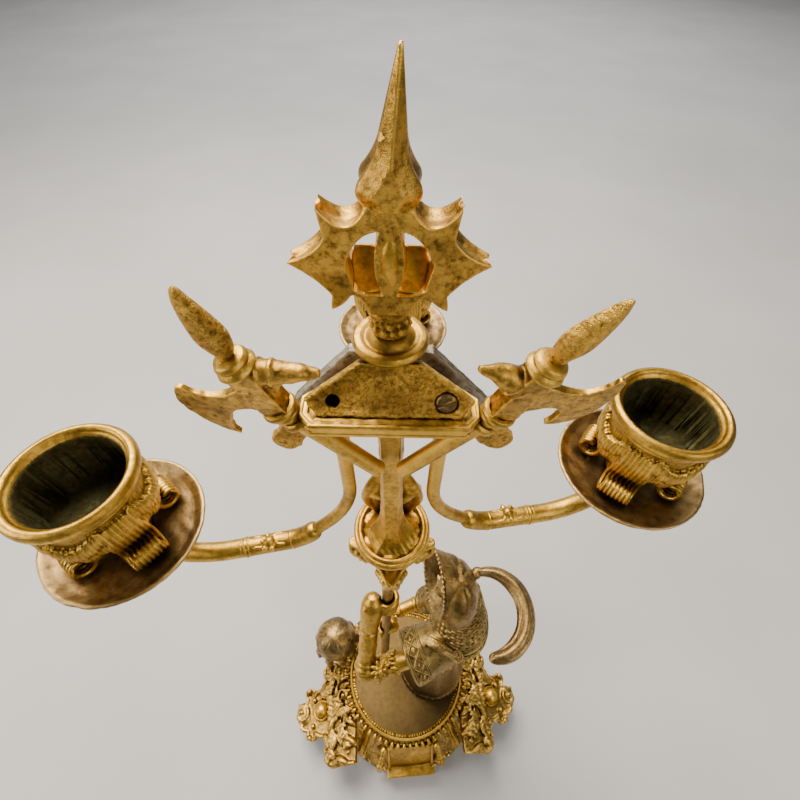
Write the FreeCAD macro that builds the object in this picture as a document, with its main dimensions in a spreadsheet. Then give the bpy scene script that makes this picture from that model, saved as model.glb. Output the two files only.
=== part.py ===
"""Gilt bronze candelabrum: a knight on a round plinth holds a lance that carries a trophy of halberds
under a star-shaped finial, and three arms with drip pans and lift-off candle cups.

Frame: millimetres, +Z up, origin on the lance axis at the bottom of the plinth, -Y towards the back of
the trophy, where its screws are."""
import FreeCAD, Part
import Sketcher
import math
import os
import re

V = FreeCAD.Vector
UP = V(0, 0, 1)

# ---------------------------------------------------------------- driving dimensions
DIMENSIONS = (
    # plinth and platform
    ("base_x", 9, "plinth centre, right of the lance"),
    ("base_y", -14, "plinth centre, towards the back"),
    ("base_turn", 5, "plinth turned about its centre, degrees"),
    ("foot_radius", 53, "plinth radius on the table"),
    ("foot_rise", 4, "height of the foot ring"),
    ("waist_radius", 37, "plinth radius under the bead ring"),
    ("plinth_top", 38, "top of the plinth casting"),
    ("plinth_wall", 3, "casting wall"),
    ("bead_radius", 39.5, "bead ring radius"),
    ("bead_rise", 4, "bead ring height"),
    ("rim_radius", 36.5, "platform rim radius"),
    ("rim_width", 3, "platform rim width"),
    ("platform_top", 45, "height of the surface the knight stands on"),
    ("platform_thick", 2.5, "platform plate thickness"),
    ("panel_width", 30, "smooth panel on the plinth"),
    ("rib_thick", 3.2, "buttress rib thickness"),
    ("wing_reach", 74, "plinth centre to the tip of a side scroll"),
    ("wing_thick", 6, "side scroll thickness"),
    ("wing_height", 30, "height of a side scroll at its root"),
    ("wing_fall", 16, "slope of the side scrolls, degrees"),
    ("boss_radius", 5.2, "round boss on a side scroll"),
    ("bud_foot", 21, "height of the foot of the bud's stem"),
    ("bud_radius", 13.6, "domed leaf bud"),
    # knight
    ("figure_x", 26, "centre of the skirt's hem"),
    ("figure_y", -9, "centre of the skirt's hem"),
    ("hem_radius", 20.5, "skirt radius at the hem"),
    ("waist_height", 104, "belt height"),
    ("waist_half", 11, "torso half width at the belt"),
    ("shoulder_height", 158, "top of the torso"),
    ("chest_half", 13.5, "torso half width at the chest"),
    ("head_x", 27.5, "head centre"),
    ("head_y", 3, "head centre"),
    ("head_height", 179.5, "head centre"),
    ("head_radius", 7.2, "head half width"),
    ("helmet_wall", 1.2, "helmet thickness"),
    ("helmet_rise", 16, "helmet skull height"),
    ("helmet_deep", 9.5, "helmet skull half depth, front to back"),
    ("helmet_half", 14.5, "helmet skull half width"),
    ("brim_reach", 4.6, "foot of the brim ahead of the head's centre"),
    ("brim_lift", 2.8, "brim centre above the facing line"),
    ("plume_radius", 14.6, "radius of the plume's curve"),
    ("plume_thick", 3.4, "plume half thickness"),
    ("bolt_radius", 2, "bolt that holds the figure"),
    ("bolt_end", 56, "height of the bolt's end inside the skirt"),
    ("limb_radius", 3.9, "forearm radius"),
    ("cuff_radius", 12.6, "near sleeve at its cuff"),
    ("sleeve_radius", 8.6, "sleeve radius at its hem"),
    # stem
    ("lance_radius", 2.5, "lance tube radius"),
    ("rod_radius", 1.2, "tie rod radius"),
    ("capital_low", 226, "bottom of the capital"),
    ("capital_rise", 9, "capital height"),
    ("capital_reach", 15.5, "capital centre to a point of its star"),
    ("saucer_radius", 12.5, "saucer under the post"),
    ("saucer_top", 246, "saucer top"),
    ("saucer_thick", 3, "saucer rim thickness"),
    ("post_half", 2.6, "post half width across flats"),
    ("post_foot", 8.2, "radius of the post's flared foot"),
    ("post_top", 316.4, "top of the post under the tray"),
    # trophy
    ("tray_top", 319.4, "top of the tray's lip"),
    ("tray_thick", 3, "tray thickness"),
    ("tray_half", 15.6, "tray half width at its back edge"),
    ("tray_back", -12, "y of the tray's straight edge"),
    ("panel_lean", 60, "slope of the cover panel, degrees"),
    ("panel_half", 12.8, "cover panel half width at its foot"),
    ("panel_rise", 10.6, "cover panel length up its slope"),
    ("panel_thick", 2.2, "cover panel thickness"),
    ("screw_apart", 10.2, "screw hole from the middle"),
    ("screw_radius", 1.2, "screw hole radius"),
    ("screw_head", 2.1, "screw head radius"),
    ("shield_y", 2.6, "back face of the shield plate"),
    ("lobe_drop", 2.8, "how much lower the shield's left lobe hangs"),
    ("shield_thick", 2.2, "shield plate thickness"),
    ("halberd_turn", 31, "halberd shaft from the vertical, degrees"),
    ("socket_height", 33, "shaft's foot to the halberd's head, along it"),
    ("shaft_radius", 2.0, "halberd shaft radius"),
    ("blade_thick", 1.8, "axe blade thickness"),
    ("dish_radius", 6.9, "dish under the finial"),
    ("dish_height", 329, "dish rim height"),
    ("finial_star", 346, "height of the star's middle"),
    ("finial_thick", 5, "finial thickness"),
    ("finial_tip", 371.3, "top of the candelabrum"),
    # lights
    ("pan_height", 270, "height of the drip pans' rims"),
    ("pan_radius", 21, "drip pan radius"),
    ("pan_depth", 4.5, "drip pan depth"),
    ("pan_wall", 1.2, "drip pan thickness"),
    ("tenon_reach", 11.5, "axis to an arm's upright"),
    ("arm_reach", 61, "arm's upright to its candle cup"),
    ("arm_thin", 1.9, "arm radius at the top"),
    ("arm_thick", 3.05, "arm radius outside the collar"),
    ("arm_top", 316.4, "top of the arms' uprights"),
    ("arm_bend", 275, "height where an upright starts to bend"),
    ("spigot_radius", 3.0, "spigot that carries a cup"),
    ("spigot_top", 277, "top of the spigot"),
    ("running_gap", 0.05, "clearance of a lift-off cup on its spigot"),
    ("cup_top", 297, "cup lip height"),
    ("cup_mouth", 11.5, "candle opening radius"),
    ("cup_lip", 15, "cup lip radius"),
    ("cup_body", 13.2, "cup body radius"),
    ("cup_floor", 279.5, "bottom of the candle opening"),
    ("cup_foot", 6.4, "cup foot radius"),
    ("foot_gap", 0.3, "cup foot above the pan"),
)

# direction of each arm from its upright, degrees, seen from above
ARMS = {"left": (180, 189.6), "right": (0, 11.5), "back": (90, 91.4)}
SIDES = {"left": -1, "right": 1}

doc = FreeCAD.newDocument("candelabrum")
sheet = doc.addObject("Spreadsheet::Sheet", "Sheet")
for row, (alias, value, note) in enumerate(DIMENSIONS, start=1):
    sheet.set(f"A{row}", note)
    sheet.set(f"B{row}", str(value))
    sheet.setAlias(f"B{row}", alias)
doc.recompute()

FUNCTIONS = ("sin", "cos", "tan", "sqrt", "deg")
nodes = []


def size(alias):
    """A driving dimension as a number."""
    return float(getattr(sheet, alias))


def formula(text):
    """A formula in the sheet's words, with each word pointed at its cell."""
    return re.sub(r"[a-z_]\w*", lambda m: m.group() if m.group() in FUNCTIONS else "Sheet." + m.group(), text)


def bind(thing, **sizes):
    """Binds each named property of a feature to a formula."""
    for name, text in sizes.items():
        thing.setExpression(name, formula(text))


def place(thing, x="0", y="0", z="0", turn=None):
    """Binds a feature's position, after turning it by the rotation given."""
    if turn is not None:
        thing.Placement = FreeCAD.Placement(V(), turn)
    for axis, text in zip("xyz", (x, y, z)):
        thing.setExpression(".Placement.Base." + axis, formula(text))


def spin(degrees, axis=UP):
    """A rotation about an axis."""
    return FreeCAD.Rotation(axis, degrees)


def polar(radius, degrees, height=0.0):
    """A point at a radius and an angle about Z."""
    angle = math.radians(degrees)
    return V(radius * math.cos(angle), radius * math.sin(angle), height)


def ready(name):
    """The up-to-date shape of a feature."""
    thing = doc.getObject(name)
    thing.recompute()
    if thing.Shape.isNull():
        doc.recompute()
    return thing.Shape


def keep(thing, label):
    """Names a sub-part and lists it for writing."""
    thing.Label = label
    nodes.append(thing)
    return thing


# ---------------------------------------------------------------- ways of making a piece
def plane_of(body, role):
    """One of a body's own origin planes."""
    return next(f for f in body.Origin.OriginFeatures if f.Role == role)


def outline_sketch(body, name, role, points, offset=None):
    """A closed outline whose corners are (formula, formula) pairs in the plane's own axes."""
    sketch = body.newObject("Sketcher::SketchObject", name)
    sketch.AttachmentSupport = [(plane_of(body, role), "")]
    sketch.MapMode = "FlatFace"
    if offset is not None:
        sketch.AttachmentOffset = offset
    count = len(points)
    start = [polar(10, 360 * i / count) for i in range(count)]
    for i in range(count):
        sketch.addGeometry(Part.LineSegment(start[i], start[(i + 1) % count]))
    for i in range(count):
        sketch.addConstraint(Sketcher.Constraint("Coincident", i, 2, (i + 1) % count, 1))
    for i, corner in enumerate(points):
        for kind, text, guess in zip(("DistanceX", "DistanceY"), corner, start[i]):
            index = sketch.addConstraint(Sketcher.Constraint(kind, -1, 1, i, 1, guess))
            sketch.setExpression(f"Constraints[{index}]", formula(text))
    return sketch


def new_body(name):
    return doc.addObject("PartDesign::Body", name)


def turned(name, profile):
    """A turned piece: a profile of (radius, height) formulas revolved about Z."""
    body = new_body(name)
    sketch = outline_sketch(body, name + "_profile", "XZ_Plane", profile)
    lathe = body.newObject("PartDesign::Revolution", name + "_revolve")
    lathe.Profile = sketch
    lathe.ReferenceAxis = (sketch, ["V_Axis"])
    lathe.Angle = 360
    return body


def plate(name, role, outline, thick, offset=None):
    """A flat piece: an outline padded by a thickness."""
    body = new_body(name)
    sketch = outline_sketch(body, name + "_outline", role, outline, offset)
    pad = body.newObject("PartDesign::Pad", name + "_pad")
    pad.Profile = sketch
    bind(pad, Length=thick)
    return body


def cylinder(name, radius, height):
    thing = doc.addObject("Part::Cylinder", name)
    bind(thing, Radius=radius, Height=height)
    return thing


def fused(name, *pieces):
    thing = doc.addObject("Part::MultiFuse", name)
    thing.Shapes = list(pieces)
    return thing


def cut(name, base, *tools):
    """The base without the tools, each taken off in turn."""
    for index, tool in enumerate(tools):
        thing = doc.addObject("Part::Cut", f"{name}_{index}" if index < len(tools) - 1 else name)
        thing.Base = base
        thing.Tool = tool
        base = thing
    return base


def shaped(name, shape, placement=None):
    """A piece whose shape is worked out here from the sheet's sizes."""
    thing = doc.addObject("Part::Feature", name)
    thing.Shape = shape
    if placement is not None:
        thing.Placement = placement
    return thing


def arc_outline(points):
    """A closed wire in the XY plane. Each point is (x, y, bulge): bulge is how far the edge to the next
    point bows to its left, as a share of its length; 0 is straight."""
    edges = []
    for (x1, y1, bulge), (x2, y2, _) in zip(points, points[1:] + points[:1]):
        a, b = V(x1, y1, 0), V(x2, y2, 0)
        if bulge:
            edges.append(Part.Arc(a, (a + b) * 0.5 + V(a.y - b.y, b.x - a.x, 0) * bulge, b).toShape())
        else:
            edges.append(Part.LineSegment(a, b).toShape())
    return Part.Wire(edges)


def mirrored_outline(half):
    """The right half of an outline, from its top point down to its bottom one, made whole. An end point on
    the axis is shared by both halves; one off the axis is joined straight across to its mirror image."""
    back = [(-x, y, bulge) for (x, y, _), (_, _, bulge) in zip(half[1:][::-1], half[:-1][::-1])]
    right = half if half[-1][0] else half[:-1]
    crown = [(-half[0][0], half[0][1], 0.0)] if half[0][0] else []
    return right + back + crown


def slab(outline, thick):
    """An outline thickened evenly to both sides of its plane."""
    solid = Part.Face(outline).extrude(V(0, 0, thick))
    solid.translate(V(0, 0, -thick / 2))
    return solid


def upright(solid):
    """A slab turned from the XY plane to stand in the XZ plane."""
    solid.rotate(V(), V(1, 0, 0), 90)
    return solid


def tube_along(points, radius):
    """A round bar along straight runs, with its corners rounded by spheres."""
    bar = None
    for a, b in zip(points, points[1:]):
        piece = Part.makeCylinder(radius, (b - a).Length, a, b - a)
        bar = piece if bar is None else bar.fuse(piece)
        if b is not points[-1]:
            bar = bar.fuse(Part.makeSphere(radius, b))
    return bar.removeSplitter()


def limb(start, end, thick, thin):
    """A tapered round limb with rounded ends."""
    axis = end - start
    body = Part.makeCone(thick, thin, axis.Length, start, axis)
    return body.fuse([Part.makeSphere(thick, start), Part.makeSphere(thin, end)]).removeSplitter()


# ---------------------------------------------------------------- the lance's line
LANCE_FOOT = V(-5, -6, size("platform_top"))
LANCE_HEAD = V(-1, -1, size("capital_low"))


def lance_at(height):
    """The point of the lance's axis at a height."""
    share = (height - LANCE_FOOT.z) / (LANCE_HEAD.z - LANCE_FOOT.z)
    return LANCE_FOOT + (LANCE_HEAD - LANCE_FOOT) * share


def lance_bar(radius):
    """A straight bar along the lance's axis, longer than the lance, for cutting its way."""
    axis = LANCE_HEAD - LANCE_FOOT
    return Part.makeCylinder(radius, axis.Length * 1.3, LANCE_FOOT - axis * 0.15, axis)


# ---------------------------------------------------------------- base
def at_base(thing, z="0", extra=0.0):
    place(thing, "base_x", "base_y", z, spin(size("base_turn") + extra))
    return thing


def make_base():
    plinth = turned("plinth_casting", (
        ("0", "plinth_top - plinth_wall"), ("waist_radius - plinth_wall", "plinth_top - plinth_wall"),
        ("waist_radius", "plinth_top * 0.45"), ("foot_radius - plinth_wall * 2", "foot_rise"),
        ("foot_radius - plinth_wall * 2", "0"), ("foot_radius", "0"), ("foot_radius", "foot_rise"),
        ("foot_radius - 3", "foot_rise + 2"), ("foot_radius * 0.83", "plinth_top * 0.5"),
        ("waist_radius + 1.5", "plinth_top * 0.8"), ("waist_radius", "plinth_top"), ("0", "plinth_top")))
    at_base(plinth)
    keep(cut("base_plinth", plinth, rod_drill(), bolt_drill("plinth_drill")), "base_plinth")

    cover = turned("bottom_plate", (
        ("0", "0"), ("foot_radius - plinth_wall * 2", "0"), ("foot_radius - plinth_wall * 2", "1.5"), ("0", "1.5")))
    keep(at_base(cover), "bottom_plate")

    ribs = [rib_solid(angle) for angle in rib_angles()]
    keep(shaped("plinth_ribs", Part.makeCompound(ribs)), "plinth_ribs")
    keep(shaped("front_panel", front_panel_solid()), "front_panel")

    ring = turned("bead_ring", (
        ("waist_radius - 6", "0"), ("bead_radius", "0"), ("bead_radius + 0.8", "bead_rise * 0.5"),
        ("bead_radius", "bead_rise"), ("waist_radius - 6", "bead_rise")))
    keep(at_base(ring, "plinth_top"), "bead_ring")

    rim = turned("platform_rim", (
        ("rim_radius - rim_width", "0"), ("rim_radius", "0"), ("rim_radius + 0.6", "2"),
        ("rim_radius - rim_width * 0.4", "4"), ("rim_radius - rim_width", "3.6")))
    keep(at_base(rim, "plinth_top + bead_rise"), "platform_rim")

    platform = turned("platform_disc", (
        ("0", "0"), ("rim_radius - rim_width", "0"),
        ("rim_radius - rim_width", "platform_thick"), ("0", "platform_thick")))
    at_base(platform, "platform_top - platform_thick")
    keep(cut("platform_plate", platform, doc.rod_drill, bolt_drill("platform_drill")), "platform_plate")

    for side, sign in SIDES.items():
        keep(shaped(f"side_scroll_{side}", side_scroll_solid(sign)), f"side_scroll_{side}")
    bosses = [boss_solid(side, sign) for side, sign in SIDES.items()]
    keep(shaped("scroll_bosses", Part.makeCompound(bosses)), "scroll_bosses")
    keep(shaped("leaf_bud", leaf_bud_solid()), "leaf_bud")


def rod_drill():
    """The slanting hole for the tie rod, through the plinth and the platform."""
    drill = cylinder("rod_drill", "rod_radius + running_gap", "60")
    axis = LANCE_HEAD - LANCE_FOOT
    drill.Placement = FreeCAD.Placement(lance_at(15), FreeCAD.Rotation(UP, axis))
    return drill


def bolt_drill(name):
    """The upright hole for the bolt that holds the figure."""
    drill = cylinder(name, "bolt_radius + running_gap", "40")
    place(drill, "figure_x", "figure_y", "bolt_end - 40")
    return drill


def rib_angles():
    """The ribs stand in pairs each side of four smooth panels, between the side scrolls."""
    return [quarter + offset for quarter in (-90, 90) for offset in (-22, 22)]


def base_frame():
    return FreeCAD.Placement(V(size("base_x"), size("base_y"), 0), spin(size("base_turn")))


def rib_solid(angle):
    """A raking buttress rib from the bead ring to the foot."""
    foot, top = size("foot_radius"), size("plinth_top")
    waist, thick = size("waist_radius"), size("rib_thick")
    outline = [V(waist - 1, 0, top), V(waist + 3, 0, top), V(foot + 4, 0, 8), V(foot + 5, 0, 0),
               V(foot - 4, 0, 0), V(foot - 4, 0, 5)]
    rib = Part.Face(Part.makePolygon(outline + outline[:1])).extrude(V(0, thick, 0))
    rib.translate(V(0, -thick / 2, 0))
    rib.rotate(V(), UP, angle)
    rib.transformShape(base_frame().toMatrix())
    return rib.cut(ready("base_plinth"))


def front_panel_solid():
    """The smooth slightly bowed panel at the back of the plinth, between two ribs."""
    foot, top = size("foot_radius"), size("plinth_top")
    waist, half = size("waist_radius"), size("panel_width") / 2
    outline = [V(0, -waist + 1, top - 1), V(0, -waist - 2.6, top - 1), V(0, -foot - 2.5, 7),
               V(0, -foot - 2.5, 0), V(0, -foot + 4, 0), V(0, -foot + 4, 7)]
    panel = Part.Face(Part.makePolygon(outline + outline[:1])).extrude(V(2 * half, 0, 0))
    panel.translate(V(-half, 0, 0))
    panel.transformShape(base_frame().toMatrix())
    return panel.cut([ready("base_plinth"), ready("plinth_ribs")])


def side_scroll_solid(sign):
    """A scroll wing that slopes outward to a foot, cut to the shape of a leafy cartouche."""
    reach, waist, height = size("wing_reach"), size("waist_radius"), size("wing_height")
    root = waist - 3
    outline = [(root, -42, 0.0), (root + 20, -45, 0.2), (root + 24, -32, 0.25), (reach - 5, -28, -0.3),
               (reach + 1, -15, -0.35), (reach - 6, -2, 0.25), (reach - 10, 5, -0.3), (root + 16, 1, 0.25),
               (root + 10, 17, -0.3), (root, 17, 0.0)]
    wing = slab(arc_outline(outline), size("wing_thick"))
    wing.rotate(V(root, 0, 0), V(0, 1, 0), size("wing_fall"))
    wing.translate(V(0, 0, height))
    foot = Part.makeCone(4.2, 3, height - 12, V(reach - 9, -16, 0), UP)
    wing = wing.fuse(foot).removeSplitter()
    if sign < 0:
        wing = wing.mirror(V(), V(1, 0, 0))
    wing.transformShape(base_frame().toMatrix())
    return largest(wing.cut([ready("base_plinth"), ready("bead_ring"), ready("plinth_ribs")]))


def boss_solid(side, sign):
    """A domed boss seated in a side scroll."""
    radius = size("boss_radius")
    dome = Part.makeSphere(radius).common(Part.makeBox(30, 30, 30, V(-15, -15, 0)))
    out = size("wing_reach") - 17
    drop = (out - size("waist_radius") + 3) * math.tan(math.radians(size("wing_fall")))
    dome.translate(V(sign * out, -17, size("wing_height") - drop))
    dome.transformShape(base_frame().toMatrix())
    return largest(dome.cut(ready("side_scroll_" + side)))


def leaf_bud_solid():
    """The domed bud on its stem, rising behind the left side scroll."""
    radius = size("bud_radius")
    centre = V(-37, 1, 63.5)
    dome = Part.makeSphere(radius, centre)
    stem = Part.makeCone(4.5, radius * 0.6, centre.z - size("bud_foot"), V(-37, 1, size("bud_foot")), UP)
    beside = [ready(name) for name in ("side_scroll_left", "base_plinth", "plinth_ribs", "bead_ring")]
    bud = dome.fuse(stem).removeSplitter().cut(beside)
    return largest(bud)


# ---------------------------------------------------------------- knight
NEAR_SHOULDER = V(31, -12, 149)
NEAR_CUFF = V(8.5, -21, 144)
NEAR_ELBOW = V(-12, -26, 139)
NEAR_HAND = V(-9.5, -4, 171)
FAR_SHOULDER = V(30, 4, 148)
FAR_ELBOW = V(18, 10, 126)
FAR_HAND = V(-1, 3, 122)


def oval(centre, half_x, half_y):
    """A level elliptical section."""
    flip = half_y > half_x
    ellipse = Part.Ellipse(V(), max(half_x, half_y), min(half_x, half_y)).toShape()
    if flip:
        ellipse.rotate(V(), UP, 90)
    ellipse.translate(centre)
    return Part.Wire([ellipse])


def lofted(*sections):
    return Part.makeLoft([oval(*section) for section in sections], True)


def make_knight():
    waist = size("waist_half")
    skirt = turned("skirt_casting", (
        ("0", "0"), ("hem_radius", "0"), ("hem_radius", "3"), ("hem_radius * 0.93", "7"),
        ("hem_radius * 0.74", "(waist_height - platform_top) * 0.55"),
        ("waist_half", "waist_height - platform_top - 2.5"), ("0", "waist_height - platform_top - 2.5")))
    place(skirt, "figure_x", "figure_y", "platform_top")
    keep(cut("knight_skirt", skirt, bolt_drill("skirt_drill"), doc.platform_rim), "knight_skirt")

    belt = turned("knight_belt", (
        ("0", "0"), ("waist_half + 1", "0"), ("waist_half + 1.5", "2.5"), ("waist_half + 1", "5"), ("0", "5")))
    place(belt, "figure_x", "figure_y", "waist_height - 2.5")
    keep(belt, "knight_belt")

    x, y = size("figure_x"), size("figure_y")
    low, top, chest = size("waist_height") + 2.5, size("shoulder_height"), size("chest_half")
    torso = lofted((V(x, y, low), waist, waist), (V(x + 3.5, y + 1, low + 24), waist - 0.5, chest - 1),
                   (V(x + 6.5, y + 2, top - 12), waist - 0.5, chest + 1),
                   (V(x + 6.5, y + 3.5, top), waist - 3.5, chest - 5))
    cape = lofted((V(x + 6.5, y + 3, top - 8), waist + 2, chest + 2.5),
                  (V(x + 6, y + 4.5, top + 2), waist - 1, chest - 1),
                  (V(x + 5.5, y + 10, top + 14), 8.8, 9.4))
    sleeves = {
        "near_sleeve": bell_sleeve(),
        "far_sleeve": limb(FAR_SHOULDER, FAR_ELBOW, 7.4, size("sleeve_radius") - 2),
    }
    head = head_solid()
    helmet, brim = helmet_solid(), brim_solid()
    helmet = helmet.cut(brim)
    head = head.cut([helmet, brim])
    cape = cape.cut([head, helmet, brim])
    torso = torso.cut([cape, head, ready("knight_belt")])
    for name, shape in (("knight_torso", torso), ("mail_cape", cape), ("knight_head", head),
                        ("helmet", helmet), ("helmet_brim", brim)):
        keep(shaped(name, shape), name)
    for name, shape in sleeves.items():
        keep(shaped(name, shape.cut([torso, cape, lance_bar(4)])), name)
    plume_piece()
    plume = largest(ready("plume_ring").cut([helmet, brim, cape]))
    keep(shaped("helmet_plume", plume), "helmet_plume")
    make_forearms()
    keep(figure_bolt(), "figure_bolt")


def bell_sleeve():
    """The near sleeve: a wide bell from the shoulder, hollow at its cuff."""
    axis = NEAR_CUFF - NEAR_SHOULDER
    wide, narrow, wall, deep = size("cuff_radius"), size("sleeve_radius") + 2, 1.6, 13
    bell = Part.makeCone(narrow, wide, axis.Length, NEAR_SHOULDER, axis)
    bell = bell.fuse(Part.makeSphere(narrow, NEAR_SHOULDER)).removeSplitter()
    start = NEAR_CUFF - axis * (deep / axis.Length)
    return bell.cut(Part.makeCone(narrow - 3, wide - wall, deep, start, axis))


def facing():
    """The way the knight looks: along -X, turned a little to the front, slightly raised."""
    return V(-0.95, -0.25, 0.18).normalize()


def head_centre():
    return V(size("head_x"), size("head_y"), size("head_height"))


def head_solid():
    radius = size("head_radius")
    face = Part.makeSphere(radius)
    stretch = FreeCAD.Matrix()
    stretch.scale(0.95, 0.92, 1.2)
    face = face.transformGeometry(stretch)
    face.translate(head_centre() + facing() * 1.5)
    neck = Part.makeCylinder(4.6, 18, head_centre() - V(0, 0, 20), UP)
    return face.fuse(neck).removeSplitter()


def helmet_solid():
    """A deep skull over the head, open in front of the face."""
    wall, radii = size("helmet_wall"), [size("helmet_" + way) for way in ("deep", "half", "rise")]
    shell = Part.makeSphere(1).transformGeometry(scaled(*radii))
    inside = Part.makeSphere(1).transformGeometry(scaled(*[radius - wall for radius in radii]))
    middle = head_centre() + V(1.5, -2.7, -3.5)
    shell.translate(middle)
    inside.translate(middle)
    opening = Part.makeCylinder(30, 40, head_centre() + facing() * size("brim_reach"), facing())
    neck_gap = Part.makeBox(60, 60, 40, V(0, -30, head_centre().z - 49))
    return shell.cut([inside, opening, neck_gap])


def scaled(x, y, z):
    matrix = FreeCAD.Matrix()
    matrix.scale(x, y, z)
    return matrix


def brim_solid():
    """The raised brim round the face opening, flared and cupped."""
    ring = Part.makeCone(11.6, 16, 5).cut(Part.makeCone(9.8, 14.6, 5))
    ring = ring.transformGeometry(scaled(0.74, 1, 1))
    upward = V(0, 0.774, 0.633)
    upward = (upward - facing() * (upward * facing())).normalize()
    ring.Placement = FreeCAD.Placement(head_centre() + facing() * size("brim_reach") + upward * size("brim_lift"),
                                       FreeCAD.Rotation(upward.cross(facing()), upward, facing(), "ZXY"))
    return ring


def plume_piece():
    """The falling plume: most of half a ring, tipped down towards its end."""
    thing = doc.addObject("Part::Torus", "plume_ring")
    bind(thing, Radius1="plume_radius + 1.8", Radius2="plume_thick")
    thing.Angle3 = 190
    lean = FreeCAD.Rotation(V(0.2, 1, 0), 12)
    place(thing, "head_x + 13.6", "head_y - 12.5", "head_height + 2.5", lean.multiply(spin(-83)))
    return thing


def make_forearms():
    thick = size("limb_radius")
    lance_way = lance_bar(size("lance_radius") + size("running_gap"))
    near = tube_along([NEAR_ELBOW + V(0, 0, 2), NEAR_HAND + (NEAR_ELBOW - NEAR_HAND) * 0.1], thick)
    far = tube_along([FAR_ELBOW, FAR_HAND + (FAR_ELBOW - FAR_HAND) * 0.2], thick - 0.4)
    guard = limb(NEAR_CUFF + V(1, 0, 0), NEAR_ELBOW, thick, thick * 1.5)
    near = near.cut(guard)
    palm = NEAR_HAND + V(2.4, 0.5, 0)
    near_hand = limb(palm - V(0, 0, 3.2), palm + V(0, 0, 3.2), 5.9, 5.3)
    far_hand = Part.makeSphere(1).transformGeometry(scaled(6, 5.4, 5.4))
    far_hand.translate(lance_at(FAR_HAND.z) + V(2, 1.5, 0))
    far_sleeve = ready("far_sleeve")
    pieces = (("elbow_guard", guard.cut([ready("near_sleeve")])),
              ("near_forearm", near.cut([near_hand, lance_way])), ("near_gauntlet", near_hand.cut(lance_way)),
              ("far_forearm", far.cut([far_hand, far_sleeve, lance_way])), ("far_gauntlet", far_hand.cut(lance_way)))
    for name, shape in pieces:
        keep(shaped(name, shape), name)


def figure_bolt():
    """The bolt that draws the figure down on the platform from under the plinth."""
    shank = cylinder("figure_bolt_shank", "bolt_radius", "bolt_end - plinth_top + plinth_wall")
    head = cylinder("figure_bolt_head", "bolt_radius * 2", "3")
    place(shank, "figure_x", "figure_y", "plinth_top - plinth_wall")
    place(head, "figure_x", "figure_y", "plinth_top - plinth_wall - 3")
    return fused("figure_bolt", shank, head)


# ---------------------------------------------------------------- stem
def make_stem():
    axis = LANCE_HEAD - LANCE_FOOT
    tube = Part.makeCylinder(size("lance_radius"), axis.Length, LANCE_FOOT, axis)
    rod_way = lance_bar(size("rod_radius") + size("running_gap"))
    tube = tube.cut([rod_way, ready("platform_plate")])
    keep(shaped("lance", tube), "lance")
    under = lance_at(size("plinth_top") - size("plinth_wall") - 6)
    above = lance_at(size("capital_low") + 5)
    rod = Part.makeCylinder(size("rod_radius"), (above - under).Length, under, axis)
    keep(shaped("tie_rod", rod), "tie_rod")
    nut_foot = lance_at(size("plinth_top") - size("plinth_wall") - 4)
    nut = Part.Face(Part.makePolygon([polar(3, 60 * i) for i in range(7)])).extrude(V(0, 0, 3.6))
    nut.Placement = FreeCAD.Placement(nut_foot, FreeCAD.Rotation(UP, axis))
    keep(shaped("tie_rod_nut", nut.cut(rod_way)), "tie_rod_nut")

    reach, rise = size("capital_reach"), size("capital_rise")
    corners = [(reach * math.cos(math.radians(90 * i)), reach * math.sin(math.radians(90 * i)), 0.06)
               for i in range(4)]
    abacus = Part.Face(arc_outline(corners)).extrude(V(0, 0, 2.6))
    abacus.translate(V(0, 0, size("capital_low") + rise - 2.6))
    bell = Part.makeCone(4.4, 9, rise - 2.6, V(0, 0, size("capital_low")), UP)
    capital = abacus.fuse(bell).removeSplitter().cut([rod_way, tube])
    keep(shaped("capital", capital), "capital")
    crockets = [crocket_solid(angle, [capital, tube]) for angle in range(0, 360, 45)]
    keep(shaped("crockets", Part.makeCompound(crockets)), "crockets")

    rim = "saucer_top - capital_low - capital_rise"
    saucer = turned("saucer", (
        ("0", "0"), ("5.2", "0"), ("4.4", "3"), ("6", "6"), ("saucer_radius - 1.6", rim + " - 2.6"),
        ("saucer_radius", rim + " - saucer_thick + 1.4"), ("saucer_radius", rim),
        ("saucer_radius - 1.6", rim + " + 0.4"), ("saucer_radius - 2.6", rim + " - 1"), ("0", rim + " - 1")))
    place(saucer, z="capital_low + capital_rise")
    keep(saucer, "saucer")

    post = turned("post", (
        ("0", "0"), ("post_foot", "0"), ("post_foot * 0.93", "2"), ("post_foot * 0.55", "5.5"),
        ("post_half + 0.6", "11"), ("0", "14")))
    hexagon = [(f"post_half * 1.1547 * cos({60 * i} deg)", f"post_half * 1.1547 * sin({60 * i} deg)")
               for i in range(6)]
    shank = outline_sketch(post, "post_hexagon", "XY_Plane", hexagon)
    pad = post.newObject("PartDesign::Pad", "post_shank")
    pad.Profile = shank
    bind(pad, Length="post_top - saucer_top + 1")
    place(post, z="saucer_top - 1")
    keep(post, "post")

    cluster = lofted((V(0, 7, size("saucer_top") - 0.8), 7, 3.6), (V(0, 7.4, size("saucer_top") + 9), 9.4, 4.6),
                     (V(0, 7, size("saucer_top") + 21), 8, 4.2), (V(0, 6.6, size("saucer_top") + 27), 4, 3))
    doc.recompute()
    uprights = [Part.makeCylinder(size("arm_thin") + 0.1, 90, arm_foot(name) + V(0, 0, 230), UP) for name in ARMS]
    keep(shaped("drapery_knot", cluster.cut([ready("post"), ready("saucer"), *uprights])), "drapery_knot")


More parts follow.
